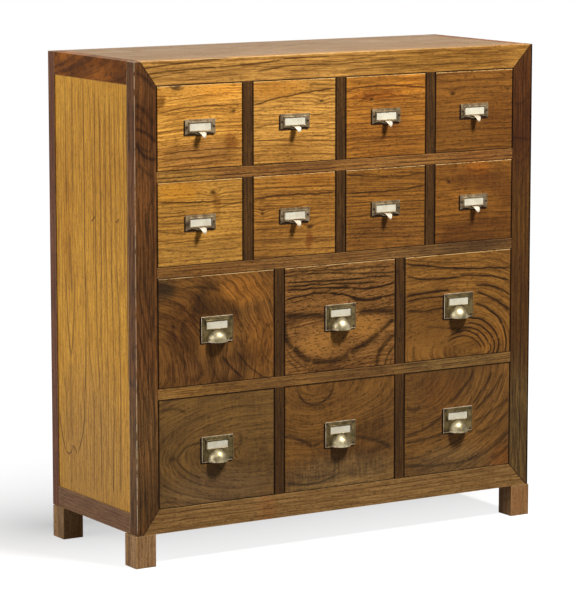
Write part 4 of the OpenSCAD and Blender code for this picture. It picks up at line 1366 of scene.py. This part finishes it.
def makePlate(size, rim, metal):
    face = plateFace - (plate["rimOut"] if rim else 0)
    wide, high = [value / 2 for value in size]
    piece = addBlock("plate", (-wide, face, -high), (wide, 0, high))
    if rim:
        editMode(piece)
        pickFront(piece)
        bpy.ops.mesh.inset(thickness=plate["rim"] * mm)
        extrude(0, plate["rimOut"], 0)
        objectMode()
    else:
        # a shallow arch is cut out on each side of the hook
        arch = (wide - hook["root"] / 2) / 2
        radius = (arch ** 2 + plate["scallop"] ** 2) / (2 * plate["scallop"])
        for sign in (-1, 1):
            x = sign * (wide - arch)
            z = plate["scallop"] - high - radius
            cutWith(piece, addRod(x, 0, z, radius, plate["cutter"], plate["archCorners"]))
    roundEdges(piece, plate["rimBevel"] if rim else plate["bevel"])
    paint(piece, metal)
    # painted shade on the edges that face left or down and next to the wood; painted highlight on those that
    # face up or right, and on the rim's top and left strip
    for patch in piece.data.polygons:
        middle = patch.center / mm
        if patch.normal.y < -0.95 or patch.normal.y > 0.5:
            if rim and middle.y < face + 0.1 and patch.normal.y < 0:
                highlightStrip = middle.z > high - plate["highlightStrip"] or middle.x < plate["highlightStrip"] - wide
                patch.material_index = 2 if highlightStrip else 0
        elif patch.normal.x < -0.3 or patch.normal.z < -0.3 or middle.y > -0.5:
            patch.material_index = 1
        else:
            patch.material_index = 2
    return piece


def makeCard(height):
    half = [value / 2 - card["clearance"] for value in plate["window"]]
    near = plateFace - card["behind"]
    piece = addBlock(
        "card", (-half[0], near - card["thickness"], height - half[1]), (half[0], near, height + half[1])
    )
    editMode(piece)
    bpy.ops.mesh.select_all(action="SELECT")
    bpy.ops.mesh.bevel(offset=card["bevel"] * mm, segments=2, affect="EDGES")
    objectMode()
    piece.data.materials.append(paper)
    return piece


smallParts = [makePlate(plate["smallSize"], False, "nickel"), makeWindowBar(0, "nickel")]
smallParts.append(makeHook("polished"))
smallParts += [makeScrew(x, z) for x, z in plate["smallScrews"]]
largeParts = [makePlate(plate["largeSize"], True, "brass"), makeWindowBar(plate["largeWindowUp"], "brass")]
largeParts.append(makeCup("dome"))
largeParts += [makeScrew(x, z) for x, z in plate["largeScrews"]]
pulls = {"small": joinPieces("pull", smallParts), "large": joinPieces("pull", largeParts)}
for piece in pulls.values():
    selectOnly(piece)
    bpy.ops.object.shade_smooth_by_angle(angle=math.radians(smoothAngle))
cards = {"small": makeCard(0), "large": makeCard(plate["largeWindowUp"])}
for name, size, middle in drawers:
    finishPiece(copyTo(pulls[size], name + "_handle", middle), name, "aged_metal", name + "_pull")
    finishPiece(copyTo(cards[size], name + "_card", middle), name, None, name + "_pull")
for piece in (*pulls.values(), *cards.values()):
    bpy.data.objects.remove(piece)

print("pulls and cards built")

# floor, light and camera; lengths in metres
stageLook = {
    "floorSize": 24, "floorTone": "808080", "floorRoughness": 0.9, "ambient": 0.05,
    "shadeHalf": 0.4, "shadeBack": 0.25, "shadeDepth": 0.54, "shadeFade": 0.28,
}


def seenStrength(tree):
    rays = place(tree, "ShaderNodeLightPath").outputs
    bounced = maths(tree, "MAXIMUM", rays["Is Glossy Ray"], rays["Is Transmission Ray"])
    return maths(tree, "MAXIMUM", rays["Is Camera Ray"], bounced)


def makeFloor():
    bpy.ops.object.select_all(action="DESELECT")
    bpy.ops.mesh.primitive_plane_add(size=stageLook["floorSize"], location=(0, 0, 0))
    floor = bpy.context.object
    floor.name = "studio_floor"
    material, tree, shader = newMaterial("studio floor")
    # white, with a painted shadow that greys it under the chest and behind it
    parts = split(tree, place(tree, "ShaderNodeTexCoord").outputs["Object"])
    sideways = maths(tree, "SUBTRACT", maths(tree, "ABSOLUTE", parts[0]), stageLook["shadeHalf"])
    behind = maths(tree, "SUBTRACT", parts[1], stageLook["shadeBack"])
    away = joined(tree, maths(tree, "MAXIMUM", sideways, 0), behind)
    away = maths(tree, "DIVIDE", measured(tree, "LENGTH", away), -stageLook["shadeFade"])
    whiteWithPaintedShadow = maths(tree, "MULTIPLY_ADD", maths(tree, "EXPONENT", away), -stageLook["shadeDepth"], 1)
    shader["Base Color"].default_value = tone(stageLook["floorTone"])
    shader["Roughness"].default_value = stageLook["floorRoughness"]
    shader["Specular IOR Level"].default_value = 0
    shader["Emission Color"].default_value = (1, 1, 1, 1)
    tree.links.new(times(tree, seenStrength(tree), whiteWithPaintedShadow), shader["Emission Strength"])
    floor.data.materials.append(material)


def makeWorld():
    world = bpy.data.worlds.new("studio")
    bpy.context.scene.world = world
    world.use_nodes = True
    tree = world.node_tree
    shader = tree.nodes["Background"].inputs
    shader["Color"].default_value = (1, 1, 1, 1)
    ambient = stageLook["ambient"]
    strength = maths(tree, "MULTIPLY_ADD", seenStrength(tree), 1 - ambient, ambient)
    tree.links.new(strength, shader["Strength"])


lampAim = Vector((0, 0, 0.5))
lampDistance = 3.2
lamps = {
    "key": {"towards": (0.19, -0.55, 0.8), "size": 0.7, "watts": 164, "warmth": (1, 0.98, 0.95)},
    "left fill": {"towards": (-0.94, 0.04, 0.33), "size": 2, "watts": 64, "warmth": (1, 1, 1)},
}


def makeLamps():
    for name, lamp in lamps.items():
        data = bpy.data.lights.new(name, "AREA")
        data.size = lamp["size"]
        data.energy = lamp["watts"]
        data.color = lamp["warmth"]
        light = bpy.data.objects.new(name, data)
        bpy.context.scene.collection.objects.link(light)
        direction = Vector(lamp["towards"]).normalized()
        light.location = lampAim + direction * lampDistance
        light.rotation_euler = (-direction).to_track_quat("-Z", "Y").to_euler()


view = {
    "place": (-3.2213, -5.1598, 1.3811), "turn": 31.839, "down": 8.672, "lens": 194.66, "sensor": 36,
    "reach": 60,
}


def makeCamera():
    data = bpy.data.cameras.new("photo view")
    data.sensor_fit = "HORIZONTAL"
    data.sensor_width = view["sensor"]
    data.lens = view["lens"]
    data.clip_end = view["reach"]
    camera = bpy.data.objects.new("photo view", data)
    bpy.context.scene.collection.objects.link(camera)
    camera.location = view["place"]
    camera.rotation_euler = (math.radians(90 - view["down"]), 0, -math.radians(view["turn"]))
    bpy.context.scene.camera = camera


makeFloor()
makeWorld()
makeLamps()
makeCamera()
bpy.context.scene.view_settings.view_transform = "Standard"

print("stage set")

bpy.context.view_layer.update()
